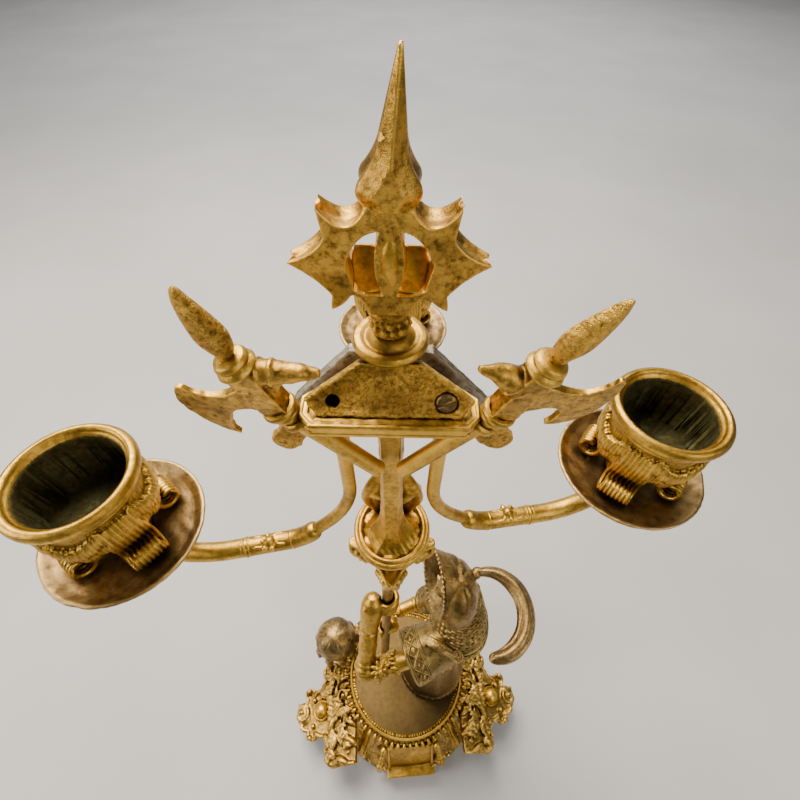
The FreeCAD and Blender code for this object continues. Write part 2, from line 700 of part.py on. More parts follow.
def crocket_solid(angle, beside):
    """A leaf that hangs from the abacus and curls out at its tip, trimmed to the pieces beside it."""
    corner = angle % 90 == 0
    reach = size("capital_reach") - (3.5 if corner else 6.5)
    top = size("capital_low") + size("capital_rise") - 2.6
    tip = Part.makeSphere(2.2, polar(reach, angle, top - 2))
    stalk = limb(polar(4, angle, top - 5), polar(reach, angle, top - 2), 1.6, 2.0)
    return largest(tip.fuse(stalk).removeSplitter().cut(beside))


# ---------------------------------------------------------------- trophy
# Each halberd head has its own lean in degrees above the horizon, collar height and bend of the spear, and
# its own axe outline of (outward, along, bulge).
HEAD_LEAN = {"left": 72, "right": 71}
HEAD_COLLAR = {"left": 12.6, "right": 13.4}
SPEAR_BEND = {"left": 8, "right": -5.5}
BLADES = {
    "left": [(1.4, 1.2, 0.0), (3.4, 1.3, 0.22), (9.6, 0.4, 0.1), (11.9, -6.2, -0.1), (15.9, 2.6, -0.14),
             (13.4, 11, 0.0), (12.4, 10.6, 0.24), (4.6, 7.4, 0.1), (1.4, 9.6, 0.0)],
    "right": [(1.4, 1.2, 0.0), (6, 4.8, 0.15), (9.6, 4.4, 0.1), (9.4, -0.4, -0.1), (14.4, 3.4, -0.12),
              (13.9, 15.5, 0.0), (12.9, 15.6, 0.24), (6.2, 10.1, 0.0), (1.4, 10.6, 0.0)],
}


def make_trophy():
    tray = plate("tray", "XY_Plane", (
        ("-tray_half + 1.6", "tray_back"), ("tray_half - 1.6", "tray_back"), ("tray_half + 0.8", "tray_back + 2.6"),
        ("tray_half + 0.8", "tray_back + 7"), ("8", "shield_y"), ("3.5", "shield_y"),
        ("3.5", "tenon_reach + 3"), ("-3.5", "tenon_reach + 3"), ("-3.5", "shield_y"), ("-8", "shield_y"),
        ("-tray_half - 0.8", "tray_back + 7"), ("-tray_half - 0.8", "tray_back + 2.6")), "tray_thick")
    floor = outline_sketch(tray, "tray_floor", "XY_Plane", (
        ("-tray_half + 2.2", "tray_back + 1.3"), ("tray_half - 2.2", "tray_back + 1.3"),
        ("tray_half - 0.6", "tray_back + 3.2"), ("tray_half - 0.6", "tray_back + 6.4"), ("7", "shield_y - 1.6"),
        ("-7", "shield_y - 1.6"), ("-tray_half + 0.6", "tray_back + 6.4"), ("-tray_half + 0.6", "tray_back + 3.2")),
        FreeCAD.Placement(V(0, 0, size("tray_thick")), FreeCAD.Rotation()))
    dish = tray.newObject("PartDesign::Pocket", "tray_recess")
    dish.Profile = floor
    dish.Length = 0.8
    place(tray, z="tray_top - tray_thick")
    keep(tray, "tray")

    panel = plate("cover_panel", "XY_Plane", (
        ("-panel_half", "0"), ("panel_half", "0"), ("panel_half + 2.6", "panel_rise * 0.34"),
        ("5.4", "panel_rise"), ("-5.4", "panel_rise"), ("-panel_half - 2.6", "panel_rise * 0.34")), "panel_thick")
    for name, radius, depth in (("through", "screw_radius", "panel_thick"), ("sink", "screw_head", "0.8")):
        holes = screw_circles(panel, name, radius)
        pocket = panel.newObject("PartDesign::Pocket", "hole_" + name)
        pocket.Profile = holes
        bind(pocket, Length=depth)
    lean = FreeCAD.Rotation(V(1, 0, 0), size("panel_lean"))
    place(panel, y="tray_back + 1.9 + panel_thick * sin(panel_lean * 1 deg)",
          z="tray_top - 0.8", turn=lean)
    keep(panel, "cover_panel")

    head = turned("screw_blank", (
        ("0", "-4"), ("screw_radius - 0.1", "-4"), ("screw_radius - 0.1", "0"), ("screw_head - 0.05", "0"),
        ("screw_head - 0.05", "0.6"), ("screw_head - 0.7", "1.1"), ("0", "1.2")))
    slot = doc.addObject("Part::Box", "screw_slot")
    bind(slot, Length="screw_head * 2", Width="0.7", Height="1")
    slot.Placement = FreeCAD.Placement(V(-size("screw_head"), -0.35, 0.5), FreeCAD.Rotation())
    screw = cut("panel_screw", head, slot)
    seat = V(size("screw_apart"), size("panel_rise") * 0.28, size("panel_thick") - 0.8)
    doc.recompute()
    screw.Placement = doc.cover_panel.Placement.multiply(FreeCAD.Placement(seat, spin(20)))
    keep(screw, "panel_screw")

    top = size("dish_height") - 3
    half = [(0, top + 0.5, -0.06), (8, top - 2, 0.0), (20.3, top - 16.5, 0.0), (25.5, top - 23.5, -0.08),
            (29.5, top - 31.5, 0.35), (25.5, top - 35.5, -0.12), (20.5, top - 28, 0.15), (0, top - 26, 0.0)]
    outline = [(x, z - (size("lobe_drop") if x < -23 else 0), bulge) for x, z, bulge in mirrored_outline(half)]
    shield = upright(slab(arc_outline(outline), size("shield_thick")))
    shield.translate(V(0, size("shield_y") + size("shield_thick") / 2, 0))
    keep(shaped("shield_plate", shield.cut(ready("tray"))), "shield_plate")

    dish = turned("dish_blank", (
        ("1.5", "-0.7"), ("4.6", "-0.7"), ("dish_radius - 0.4", "-0.2"), ("dish_radius", "0.5"),
        ("dish_radius - 0.5", "1.2"), ("dish_radius * 0.72", "1.0"), ("dish_radius * 0.6", "2"),
        ("2.6", "3"), ("1.5", "3")))
    place(dish, z="dish_height")
    keep(cut("finial_dish", dish, panel), "finial_dish")
    keep(shaped("finial", finial_solid()), "finial")
    stud = cylinder("stud_bar", "1.45", "dish_height + 6 - tray_top")
    place(stud, z="tray_top - 0.8")
    keep(cut("finial_stud", stud, tray), "finial_stud")
    for side, sign in SIDES.items():
        make_halberd(side, sign)


def screw_circles(body, name, radius):
    """The two screw holes' circles on the panel's outer face."""
    sketch = body.newObject("Sketcher::SketchObject", "circles_" + name)
    sketch.AttachmentSupport = [(plane_of(body, "XY_Plane"), "")]
    sketch.MapMode = "FlatFace"
    sketch.AttachmentOffset = FreeCAD.Placement(V(0, 0, size("panel_thick")), FreeCAD.Rotation())
    for sign in SIDES.values():
        centre = V(sign * size("screw_apart"), size("panel_rise") * 0.28, 0)
        index = sketch.addGeometry(Part.Circle(centre, UP, 1))
        for kind, text, guess in (("DistanceX", f"{sign} * screw_apart", centre.x),
                                  ("DistanceY", "panel_rise * 0.28", centre.y)):
            number = sketch.addConstraint(Sketcher.Constraint(kind, -1, 1, index, 3, guess))
            sketch.setExpression(f"Constraints[{number}]", formula(text))
        number = sketch.addConstraint(Sketcher.Constraint("Radius", index, 1.0))
        sketch.setExpression(f"Constraints[{number}]", formula(radius))
    return sketch


def finial_solid():
    """The star finial: a spire between upper, side and lower spikes, hollow edges between them, with two
    openings each side of a leaf-shaped rib. The spire leans a little to the right."""
    tip, star, low = size("finial_tip"), size("finial_star"), size("dish_height") + 3
    lug = star + 11.6
    half = [(0.5, tip, 0.0), (2.1, star + 15, -0.08), (3.9, lug, 0.2), (3.4, star + 9.9, -0.17),
            (8.6, star + 8.6, -0.09), (8.7, star + 4.4, -0.06), (15, star + 1, -0.05), (8.9, star - 5.2, 0.0),
            (9.2, star - 7.6, 0.0), (5.7, star - 4.9, -0.1), (2.4, star - 9, 0.0), (2.9, low, 0.0)]
    lean = 1.3 / (tip - lug)
    outline = [(x + lean * max(0, z - lug), z, bulge) for x, z, bulge in mirrored_outline(half)]
    windows = []
    for sign in SIDES.values():
        window = [(0.7, star + 6.0, 0.1), (4.6, star + 4.7, 0.05), (5.3, star + 2.2, 0.0), (6.2, star + 0.5, 0.0),
                  (5.3, star - 3.9, 0.1), (0.5, star - 4.7, -0.14)]
        windows.append(slab(arc_outline([(sign * x, z, sign * bulge) for x, z, bulge in window]), 20))
    blade = upright(slab(arc_outline(outline), size("finial_thick")).cut(windows))
    stud_way = Part.makeCylinder(1.5, 8, V(0, 0, low - 4), UP)
    collar = Part.makeCone(2.8, 3.2, 3, V(0, 0, low), UP)
    return blade.fuse(collar).removeSplitter().cut([stud_way, ready("finial_dish")])


def frame_along(origin, along, sign):
    """A frame with Z along a direction and X as far outward as it can be."""
    outward = V(sign, 0, 0) - along * (along * V(sign, 0, 0))
    outward.normalize()
    return FreeCAD.Placement(origin, FreeCAD.Rotation(outward, along.cross(outward), along, "ZXY"))


def halberd_frame(sign):
    """The frame of a halberd's shaft: Z up it, X outward, origin at its foot on the post."""
    foot = V(sign * 3, -4.6, 292.5)
    head = V(sign * 25.4, -10, 330)
    return frame_along(foot, (head - foot).normalize(), sign)


def head_frame(side, sign):
    """The frame of a halberd's head, which stands steeper than its shaft."""
    shaft = halberd_frame(sign)
    lean = math.radians(HEAD_LEAN[side])
    along = V(sign * math.cos(lean), -0.12, math.sin(lean)).normalize()
    return frame_along(shaft.multVec(V(0, 0, size("socket_height"))), along, sign)


def make_halberd(side, sign):
    radius = size("shaft_radius")
    frame = halberd_frame(sign)
    socket = size("socket_height")
    bar = Part.makeCylinder(radius, socket, V(), UP)
    for height, thick in ((socket - 4.6, 2.9), (socket - 1.6, 2.6)):
        bar = bar.fuse(Part.makeTorus(radius + 0.1, thick - radius, V(0, 0, height), UP))
    shaft = in_frame(bar, frame)
    shaft = shaft.cut([ready("post"), ready("tray")])

    frame = head_frame(side, sign)
    collar = HEAD_COLLAR[side]
    block = Part.makeBox(4.4, 4.4, collar, V(-2.2, -2.2, 0))
    blade = upright(slab(arc_outline(BLADES[side]), size("blade_thick")))
    root, tip = (V(-2, 0, 9.6), V(-11.6, 0, 7.4)) if sign < 0 else (V(-1.4, 0, 8.8), V(-9.6, 0, 10.2))
    beak = Part.makeCone(2.5, 0.5, (tip - root).Length, root, tip - root)
    ring = Part.makeCylinder(3.4, 2.6, V(0, 0, collar), UP)
    head = in_frame(block.fuse([blade, beak, ring]).removeSplitter(), frame)
    head = head.cut([ready("tray"), ready("cover_panel"), ready("shield_plate")])
    keep(shaped(f"halberd_shaft_{side}", largest(shaft.cut(head))), f"halberd_shaft_{side}")
    keep(shaped(f"axe_head_{side}", head), f"axe_head_{side}")

    leaf = spear_leaf()
    leaf.rotate(V(), V(0, 1, 0), -SPEAR_BEND[side])
    leaf.translate(V(0, 0, collar + 2.4))
    keep(shaped(f"spear_{side}", in_frame(leaf, frame).cut(head)), f"spear_{side}")


def largest(shape):
    """The biggest solid of a trimmed shape, without the scraps that a cut leaves."""
    return max(shape.Solids, key=lambda solid: solid.Volume)


def in_frame(shape, frame):
    moved = shape.copy()
    moved.transformShape(frame.toMatrix())
    return moved


def spear_leaf():
    """A leaf-shaped spear blade with a neck, its flat faces across Y."""
    half = [(0.7, 14.4, 0.05), (2.7, 5.0, 0.2), (1.4, 1.0, 0.0), (1.4, 0, 0.0)]
    return upright(slab(arc_outline(mirrored_outline(half)), 2.4))


# ---------------------------------------------------------------- lights
def arm_foot(name):
    """Where an arm's upright stands, seen from above."""
    return polar(size("tenon_reach"), ARMS[name][0])


def cup_centre(name):
    return arm_foot(name) + polar(size("arm_reach"), ARMS[name][1])


def arm_runs():
    """An arm's centre line in its own upright plane, as (thin edges, thick edges): down the upright,
    round a wide bend to a 45 degree fall, round to nearly level, and up into the cup."""
    reach, bend, top = size("arm_reach"), size("arm_bend"), size("arm_top")
    wide, small, last = 30.0, 14.0, 19.5
    slope = math.radians(45)
    level = math.radians(5)
    centre = V(wide, 0, bend)
    knee = centre + V(-wide * math.cos(slope), 0, -wide * math.sin(slope))
    middle = centre + V(-wide * math.cos(slope / 2), 0, -wide * math.sin(slope / 2))
    fall = knee + V(math.cos(slope), 0, -math.sin(slope)) * 7
    centre = fall + V(math.sin(slope), 0, math.cos(slope)) * small
    low = centre - V(math.sin(level), 0, math.cos(level)) * small
    half = (slope + level) / 2
    bow = centre - V(math.sin(half), 0, math.cos(half)) * small
    run = (reach - last * (1 + math.sin(level)) - low.x) / math.cos(level)
    far = low + V(math.cos(level), 0, -math.sin(level)) * run
    centre = far + V(math.sin(level), 0, math.cos(level)) * last
    end = centre + V(last, 0, 0)
    turn = math.radians(42)
    rise = centre + V(math.sin(turn), 0, -math.cos(turn)) * last
    thin = [Part.LineSegment(V(0, 0, top), V(0, 0, bend)), Part.Arc(V(0, 0, bend), middle, knee),
            Part.LineSegment(knee, fall)]
    thick = [Part.Arc(fall, bow, low), Part.LineSegment(low, far), Part.Arc(far, rise, end)]
    return [edge.toShape() for edge in thin], [edge.toShape() for edge in thick], fall, low, end


def swept(edges, radius):
    """A round bar along a smooth path."""
    path = Part.Wire(edges)
    first = edges[0]
    start = first.Vertexes[0].Point
    ring = Part.Wire([Part.Circle(start, first.tangentAt(first.FirstParameter), radius).toShape()])
    return path.makePipeShell([ring], True, False)


def make_lights():
    thin, thick, fall, low, end = arm_runs()
    slim, stout = size("arm_thin"), size("arm_thick")
    seat = size("pan_height") - size("pan_depth")
    flange = Part.makeCone(stout, 5.2, 2.4, V(end.x, 0, seat - 2.4), UP)
    neck = Part.makeCylinder(stout, seat - 2.4 - end.z + 1, V(end.x, 0, end.z - 1), UP)
    spigot = Part.makeCylinder(size("spigot_radius"), size("spigot_top") - seat + 0.5, V(end.x, 0, seat - 0.5), UP)
    arm = swept(thin, slim).fuse([swept(thick, stout), flange, neck, spigot,
                                  Part.makeSphere(stout, fall)]).removeSplitter()
    down = V(1, 0, -1)
    rings = [Part.makeTorus(stout + 0.4, 0.9, fall + down * share, down) for share in (0.4, 1.6)]
    bud = Part.makeSphere(2.4, low + V(14, 0, stout * 0.6))
    rings = [ring.cut(arm) for ring in rings]
    collars = []
    for name, (_, angle) in ARMS.items():
        frame = FreeCAD.Placement(arm_foot(name), spin(angle))
        keep(shaped(f"arm_{name}", in_frame(arm, frame)), f"arm_{name}")
        collars += [in_frame(piece, frame) for piece in (*rings, bud.cut(arm))]
        centre = cup_centre(name)
        for thing in (make_pan(name), make_cup(name)):
            thing.Placement.Base = V(centre.x, centre.y, size("pan_height"))
    keep(shaped("arm_collars", Part.makeCompound(collars)), "arm_collars")


def make_pan(name):
    """A shallow dished drip pan with a hole for the spigot."""
    pan = turned(f"drip_pan_{name}", (
        ("spigot_radius + running_gap", "-pan_depth"), ("pan_radius * 0.45", "-pan_depth"),
        ("pan_radius * 0.85", "-pan_depth * 0.55"), ("pan_radius - 0.2", "-pan_wall"), ("pan_radius", "0"),
        ("pan_radius - 1.2", "0"), ("pan_radius * 0.82", "-pan_depth * 0.55 + pan_wall"),
        ("pan_radius * 0.45", "-pan_depth + pan_wall"), ("spigot_radius + running_gap", "-pan_depth + pan_wall")))
    return keep(pan, f"drip_pan_{name}")


def make_cup(name):
    """A lift-off candle cup: foot, flared body, rolled lip, candle opening and a socket for the spigot."""
    floor = "cup_floor - pan_height"
    lip = "cup_top - pan_height"
    foot = "foot_gap + pan_wall - pan_depth"
    cup = turned(f"candle_cup_{name}", (
        ("spigot_radius + running_gap", foot), ("cup_foot", foot), ("cup_foot + 1", foot + " + 1.4"),
        ("cup_foot", foot + " + 3.2"), ("cup_body * 0.7", foot + " + 6"), ("cup_body", foot + " + 11"),
        ("cup_body", lip + " - 6"), ("cup_lip - 0.8", lip + " - 3.4"), ("cup_lip", lip + " - 1.8"),
        ("cup_lip - 0.6", lip + " - 0.5"), ("cup_lip - 1.8", lip), ("cup_mouth + 0.6", lip),
        ("cup_mouth", lip + " - 0.8"), ("cup_mouth", floor), ("0", floor),
        ("0", "spigot_top - pan_height + 0.6"), ("spigot_radius + running_gap", "spigot_top - pan_height + 0.6")))
    return keep(cup, f"candle_cup_{name}")


# ---------------------------------------------------------------- build, check and write
def recompute_checked():
    doc.recompute()
    failed = [o.Name for o in doc.Objects if {"Invalid", "Error"} & set(o.State)]
    if failed:
        raise RuntimeError("features that failed: " + ", ".join(failed))


make_base()
recompute_checked()
make_knight()
recompute_checked()
make_stem()
recompute_checked()
make_trophy()
recompute_checked()
make_lights()
recompute_checked()

os.makedirs("parts", exist_ok=True)
for node in nodes:
    shape = node.Shape
    if shape.isNull() or not shape.isValid() or not shape.Solids:
        raise RuntimeError(node.Label + " has no valid solid")
    shape.exportStep(f"parts/{node.Label}.step")
    print(f"{node.Label}: {len(shape.Solids)} solid(s), {shape.Volume:.0f} mm3")
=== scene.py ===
"""The looks of a gilt bronze candelabrum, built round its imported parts.

Metres in Blender; the shapes below are worked out in millimetres in the same frame: +Z up, +X to the
right, +Y away from the side that shows the cover panel, the origin under the lance on the foot plane."""

import math

import bmesh
import bpy
import numpy as np
from mathutils import Matrix, Vector


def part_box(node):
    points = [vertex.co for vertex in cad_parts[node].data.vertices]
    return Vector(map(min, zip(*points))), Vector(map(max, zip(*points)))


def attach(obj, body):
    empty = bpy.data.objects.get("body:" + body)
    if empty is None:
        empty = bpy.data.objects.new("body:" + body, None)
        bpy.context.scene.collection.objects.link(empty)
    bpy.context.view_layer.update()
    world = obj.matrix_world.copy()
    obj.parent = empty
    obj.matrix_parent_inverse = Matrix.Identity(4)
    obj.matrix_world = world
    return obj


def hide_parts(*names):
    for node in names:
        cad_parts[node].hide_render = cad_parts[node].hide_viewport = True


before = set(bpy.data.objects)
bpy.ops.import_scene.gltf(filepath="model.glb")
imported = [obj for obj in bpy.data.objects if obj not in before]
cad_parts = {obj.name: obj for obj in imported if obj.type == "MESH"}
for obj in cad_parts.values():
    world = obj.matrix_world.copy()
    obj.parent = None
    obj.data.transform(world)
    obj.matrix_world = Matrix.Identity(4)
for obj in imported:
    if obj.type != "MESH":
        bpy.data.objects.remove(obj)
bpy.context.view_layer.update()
MM = 0.001
SIDES = {"left": -1, "right": 1}
LIGHTS = ("left", "right", "back")


# ---------------------------------------------------------------- small vector helpers
def vec(*values):
    """An array of floats."""
    return np.array(values, float)


def unit(vector):
    """The vector at length one."""
    return np.asarray(vector, float) / np.linalg.norm(vector)


def box_mm(node):
    """A node's low and high corners, in millimetres."""
    low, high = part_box(node)
    return np.array(low) / MM, np.array(high) / MM


def centre_of(node, end=0):
    """The middle of a node's box in X and Y, at its foot, or at its top where end is 1."""
    low, high = corners = box_mm(node)
    return vec((low[0] + high[0]) / 2, (low[1] + high[1]) / 2, corners[end][2])


def circle(count):
    """Equal angles round a circle."""
    return np.linspace(0, 2 * math.pi, count, endpoint=False)


def ellipse(angles, a, b, z, x=0.0, y=0.0):
    """A level ring of points at the angles: half sizes, height and centre."""
    return np.column_stack([x + a * np.cos(angles), y + b * np.sin(angles), np.broadcast_to(z, len(angles))])


def seen_from(points, centre, turn=None):
    """The points seen from a centre, in a turned frame where one is given, with each point's distance
    from that frame's Z axis and its angle round it."""
    local = points - centre
    if turn is not None:
        local = local @ turn
    return local, np.hypot(local[:, 0], local[:, 1]), np.arctan2(local[:, 1], local[:, 0])


def polar(radius, degrees, height=0.0):
    """A point at a radius, an angle and a height."""
    angle = math.radians(degrees)
    return vec(radius * math.cos(angle), radius * math.sin(angle), height)


def smooth_path(points, count):
    """A Catmull-Rom curve through the points, as count points; columns past the third are eased too."""
    pts = np.array(points, float)
    pts = np.vstack([2 * pts[0] - pts[1], pts, 2 * pts[-1] - pts[-2]])
    spans = len(pts) - 3
    out = []
    for value in np.linspace(0, spans, count):
        index = min(int(value), spans - 1)
        t = value - index
        a, b, c, d = pts[index:index + 4]
        out.append(0.5 * (2 * b + (c - a) * t + (2 * a - 5 * b + 4 * c - d) * t ** 2
                          + (3 * b - a - 3 * c + d) * t ** 3))
    return np.array(out)


def arc_outline(points, steps=7):
    """A closed outline of (x, y, bulge) points: bulge is how far the edge to the next point bows to its
    left, as a share of the edge's length."""
    out = []
    for (x1, y1, bulge), (x2, y2, _) in zip(points, points[1:] + points[:1]):
        for step in range(steps if bulge else 1):
            t = step / steps
            bow = 4 * bulge * t * (1 - t)
            out.append((x1 + (x2 - x1) * t + (y1 - y2) * bow, y1 + (y2 - y1) * t + (x2 - x1) * bow))
    return np.array(out)


def mirrored(half):
    """The right half of an outline, top to bottom, made whole about x = 0."""
    back = [(-x, y, bulge) for (x, y, _), (_, _, bulge) in zip(half[1:][::-1], half[:-1][::-1])]
    right = half if half[-1][0] else half[:-1]
    crown = [(-half[0][0], half[0][1], 0.0)] if half[0][0] else []
    return right + back + crown


def edge_distance(points, outline):
    """Each 2D point's distance to a closed outline's nearest edge."""
    best = np.full(len(points), 1e9)
    for start, end in zip(outline, np.roll(outline, -1, axis=0)):
        span = end - start
        share = np.clip((points - start) @ span / max(span @ span, 1e-9), 0, 1)
        best = np.minimum(best, np.linalg.norm(points - start - share[:, None] * span, axis=1))
    return best


def turned_to(z_axis, x_hint=(1, 0, 0)):
    """A 3x3 matrix whose columns are a frame with the given Z axis and X as near the hint as it can be."""
    z = unit(z_axis)
    y = unit(np.cross(z, x_hint))
    return np.column_stack([np.cross(y, z), y, z])


def spun(degrees):
    """A frame turned about Z."""
    return turned_to((0, 0, 1), polar(1, degrees))


# ---------------------------------------------------------------- closed shapes as (vertices, faces)
def moved(shape, offset=(0, 0, 0), turn=None):
    """A shape turned, then moved."""
    points, faces = shape
    points = points @ turn.T if turn is not None else points
    return points + np.array(offset, float), faces


def grid_faces(rows, columns, first=0):
    """Quads between the rings of a tube."""
    faces = []
    for row in range(rows - 1):
        for column in range(columns):
            nxt = (column + 1) % columns
            a, b = first + row * columns, first + (row + 1) * columns
            faces.append((a + column, a + nxt, b + nxt, b + column))
    return faces


def capped(rings):
    """A closed skin over a list of equal rings of points."""
    rows, columns = len(rings), len(rings[0])
    points = np.vstack(rings + [rings[0].mean(0)[None], rings[-1].mean(0)[None]])
    faces = grid_faces(rows, columns)
    low, high = rows * columns, rows * columns + 1
    last = (rows - 1) * columns
    for column in range(columns):
        nxt = (column + 1) % columns
        faces += [(low, nxt, column), (high, last + column, last + nxt)]
    return points, faces


def sweep(path, wide, thick=None, side=None, columns=20):
    """A bar along a path. wide and thick are half sizes, one number or one for each point: wide runs along
    the side direction where one is given."""
    path = np.array(path, float)
    count = len(path)
    wide = np.broadcast_to(wide, count)
    thick = wide if thick is None else np.broadcast_to(thick, count)
    tangents = np.gradient(path, axis=0)
    tangents /= np.linalg.norm(tangents, axis=1)[:, None]
    hint = np.array(side, float) if side is not None else None
    if hint is None:
        hint = np.cross(tangents[0], vec(0, 0, 1) if abs(tangents[0][2]) < 0.9 else vec(1, 0, 0))
    angles = circle(columns)
    rings = []
    for point, tangent, a, b in zip(path, tangents, wide, thick):
        across = unit(hint - tangent * (hint @ tangent))
        if side is None:
            hint = across
        over = np.cross(tangent, across)
        rings.append(point + np.outer(np.cos(angles) * a, across) + np.outer(np.sin(angles) * b, over))
    return capped(rings)


def lathe(profile, steps=72, ripple=None):
    """A closed turned shape; profile is (radius, z) points round the section. ripple(angle) scales radii."""
    profile = np.array(profile, float)
    angles = circle(steps)
    scale = np.ones(steps) if ripple is None else ripple(angles)
    points = np.vstack([np.column_stack([r * np.cos(angles) * scale, r * np.sin(angles) * scale,
                                         np.full(steps, z)]) for r, z in profile])
    faces = grid_faces(len(profile), steps)
    last = (len(profile) - 1) * steps
    if profile[0][0] < 1e-6 and profile[-1][0] < 1e-6:
        return points, faces
    faces += [(last + c, last + (c + 1) % steps, (c + 1) % steps, c) for c in range(steps)]
    return points, faces


def ball(centre, radii, turn=None, rings=14, columns=24):
    """An ellipsoid."""
    radii = np.broadcast_to(radii, 3)
    heights = np.linspace(-math.pi / 2, math.pi / 2, rings + 2)[1:-1]
    angles = circle(columns)
    made = [np.column_stack([np.cos(h) * np.cos(angles), np.cos(h) * np.sin(angles),
                             np.full(columns, np.sin(h))]) * radii for h in heights]
    points, faces = capped(made)
    points[-2] = vec(0, 0, -radii[2])
    points[-1] = vec(0, 0, radii[2])
    return moved((points, faces), centre, turn)


def prism(outline, low, high):
    """A level plate: the outline in X and Y, between two heights."""
    count = len(outline)
    points = np.vstack([np.column_stack([outline, np.full(count, level)]) for level in (low, high)])
    faces = [tuple(range(count)), tuple(range(2 * count - 1, count - 1, -1))]
    faces += [(i, i + count, (i + 1) % count + count, (i + 1) % count) for i in range(count)]
    return points, faces


def slab(outline, thick, turn=None, offset=(0, 0, 0)):
    """An upright plate: the outline in X and Z, its thickness along Y."""
    points, faces = prism(np.array(outline, float), -thick / 2, thick / 2)
    return moved((points[:, [0, 2, 1]], faces), offset, turn)


# ---------------------------------------------------------------- objects
def mesh_of(name, shapes):
    """One mesh made of several closed shapes."""
    points, faces, first = [], [], 0
    for shape_points, shape_faces in shapes:
        points.append(shape_points)
        faces += [tuple(index + first for index in face) for face in shape_faces]
        first += len(shape_points)
    mesh = bpy.data.meshes.new(name)
    mesh.from_pydata((np.vstack(points) * MM).tolist(), [], faces)
    work = bmesh.new()
    work.from_mesh(mesh)
    bmesh.ops.recalc_face_normals(work, faces=work.faces)
    work.to_mesh(mesh)
    work.free()
    return mesh


def settled(thing):
    """The thing's mesh with its modifiers worked in."""
    graph = bpy.context.evaluated_depsgraph_get()
    graph.update()
    made = bpy.data.meshes.new_from_object(thing.evaluated_get(graph))
    thing.modifiers.clear()
    thing.data = made
    return thing


def piece(name, shapes, material, nodes=(), body="stand", grain=None, ease=3,
          carve=None, minus=(), bevel=None, second=None, inside=None, shift=None):
    """One visible piece. grain is the voxel size that melts its shapes into one casting, ease the smoothing
    after it, carve(points, normals) the depth in millimetres cut or raised on the finished skin, and
    shift(points) where its points are moved to. The faces whose centres pass inside(centres) take the
    second material."""
    thing = bpy.data.objects.new(name, mesh_of(name, shapes))
    bpy.context.scene.collection.objects.link(thing)
    if grain:
        melt = thing.modifiers.new("melt", "REMESH")
        melt.mode = "VOXEL"
        melt.voxel_size = grain * MM
        settled(thing)
    for shape in minus:
        tool = bpy.data.objects.new(name + "_tool", mesh_of(name + "_tool", [shape]))
        bpy.context.scene.collection.objects.link(tool)
        take = thing.modifiers.new("take", "BOOLEAN")
        take.operation = "DIFFERENCE"
        take.object = tool
        settled(thing)
        bpy.data.objects.remove(tool)
    if bevel:
        rounding = thing.modifiers.new("rounding", "BEVEL")
        rounding.width = bevel * MM
        rounding.segments = 3
        rounding.limit_method = "ANGLE"
        settled(thing)
    if grain and ease:
        soften = thing.modifiers.new("soften", "SMOOTH")
        soften.factor = 0.5
        soften.iterations = ease
        settled(thing)
    if carve or shift:
        mesh = thing.data
        count = len(mesh.vertices)
        points = np.empty(count * 3, np.float32)
        normals = np.empty(count * 3, np.float32)
        mesh.vertices.foreach_get("co", points)
        mesh.vertices.foreach_get("normal", normals)
        points, normals = points.reshape(-1, 3).astype(float), normals.reshape(-1, 3).astype(float)
        if carve:
            points += normals * carve(points / MM, normals)[:, None] * MM
        if shift:
            points = shift(points / MM) * MM
        mesh.vertices.foreach_set("co", points.astype(np.float32).ravel())
        mesh.update()
    thing.data.materials.clear()
    thing.data.materials.append(material)
    if second:
        thing.data.materials.append(second)
        centres = np.empty(len(thing.data.polygons) * 3, np.float32)
        thing.data.polygons.foreach_get("center", centres)
        chosen = inside(centres.reshape(-1, 3).astype(float) / MM)
        thing.data.polygons.foreach_set("material_index", chosen.astype(np.int32))
    thing.data.shade_smooth()
    if bevel or not grain:
        thing.data.set_sharp_from_angle(angle=math.radians(35))
    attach(thing, body)
    if nodes:
        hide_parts(*nodes)
    return thing


# ---------------------------------------------------------------- materials
class Graph:
    """A material's node tree with short calls for what the metals share."""

    def __init__(self, name):
        self.material = bpy.data.materials.new(name)
        self.material.use_nodes = True
        self.tree = self.material.node_tree
        self.shader = self.tree.nodes["Principled BSDF"]
        self.place = self.tree.nodes.new("ShaderNodeTexCoord").outputs["Object"]

    def node(self, kind, inputs=(), **settings):
        made = self.tree.nodes.new(kind)
        for key, value in settings.items():
            setattr(made, key, value)
        for key, value in dict(inputs).items():
            if isinstance(value, bpy.types.NodeSocket):
                self.tree.links.new(value, made.inputs[key])
            else:
                made.inputs[key].default_value = value
        return made

    def noise(self, per_metre, detail=6.0, rough=0.6, warp=0.0):
        return self.node("ShaderNodeTexNoise", {"Vector": self.place, "Scale": per_metre, "Detail": detail,
                                                "Roughness": rough, "Distortion": warp}).outputs["Fac"]

    def ramp(self, value, *stops):
        made = self.node("ShaderNodeValToRGB", {"Fac": value})
        ramp = made.color_ramp
        while len(ramp.elements) < len(stops):
            ramp.elements.new(0.5)
        for element, (position, colour) in zip(ramp.elements, stops):
            element.position = position
            element.color = (*colour, 1) if isinstance(colour, tuple) else (colour, colour, colour, 1)
        return made.outputs["Color"]

    def mix(self, share, first, second, blend="MIX"):
        """Colours mixed by a share; the mix node's colour sockets are its seventh and eighth."""
        made = self.node("ShaderNodeMix", data_type="RGBA", blend_type=blend)
        for socket, value in zip((made.inputs[0], made.inputs[6], made.inputs[7]), (share, first, second)):
            if isinstance(value, bpy.types.NodeSocket):
                self.tree.links.new(value, socket)
            elif socket.type == "RGBA":
                socket.default_value = (*value, 1)
            else:
                socket.default_value = value
        return made.outputs[2]

    def between(self, value, low, high):
        return self.node("ShaderNodeMapRange",
                         {"Value": value, "To Min": low, "To Max": high}).outputs["Result"]


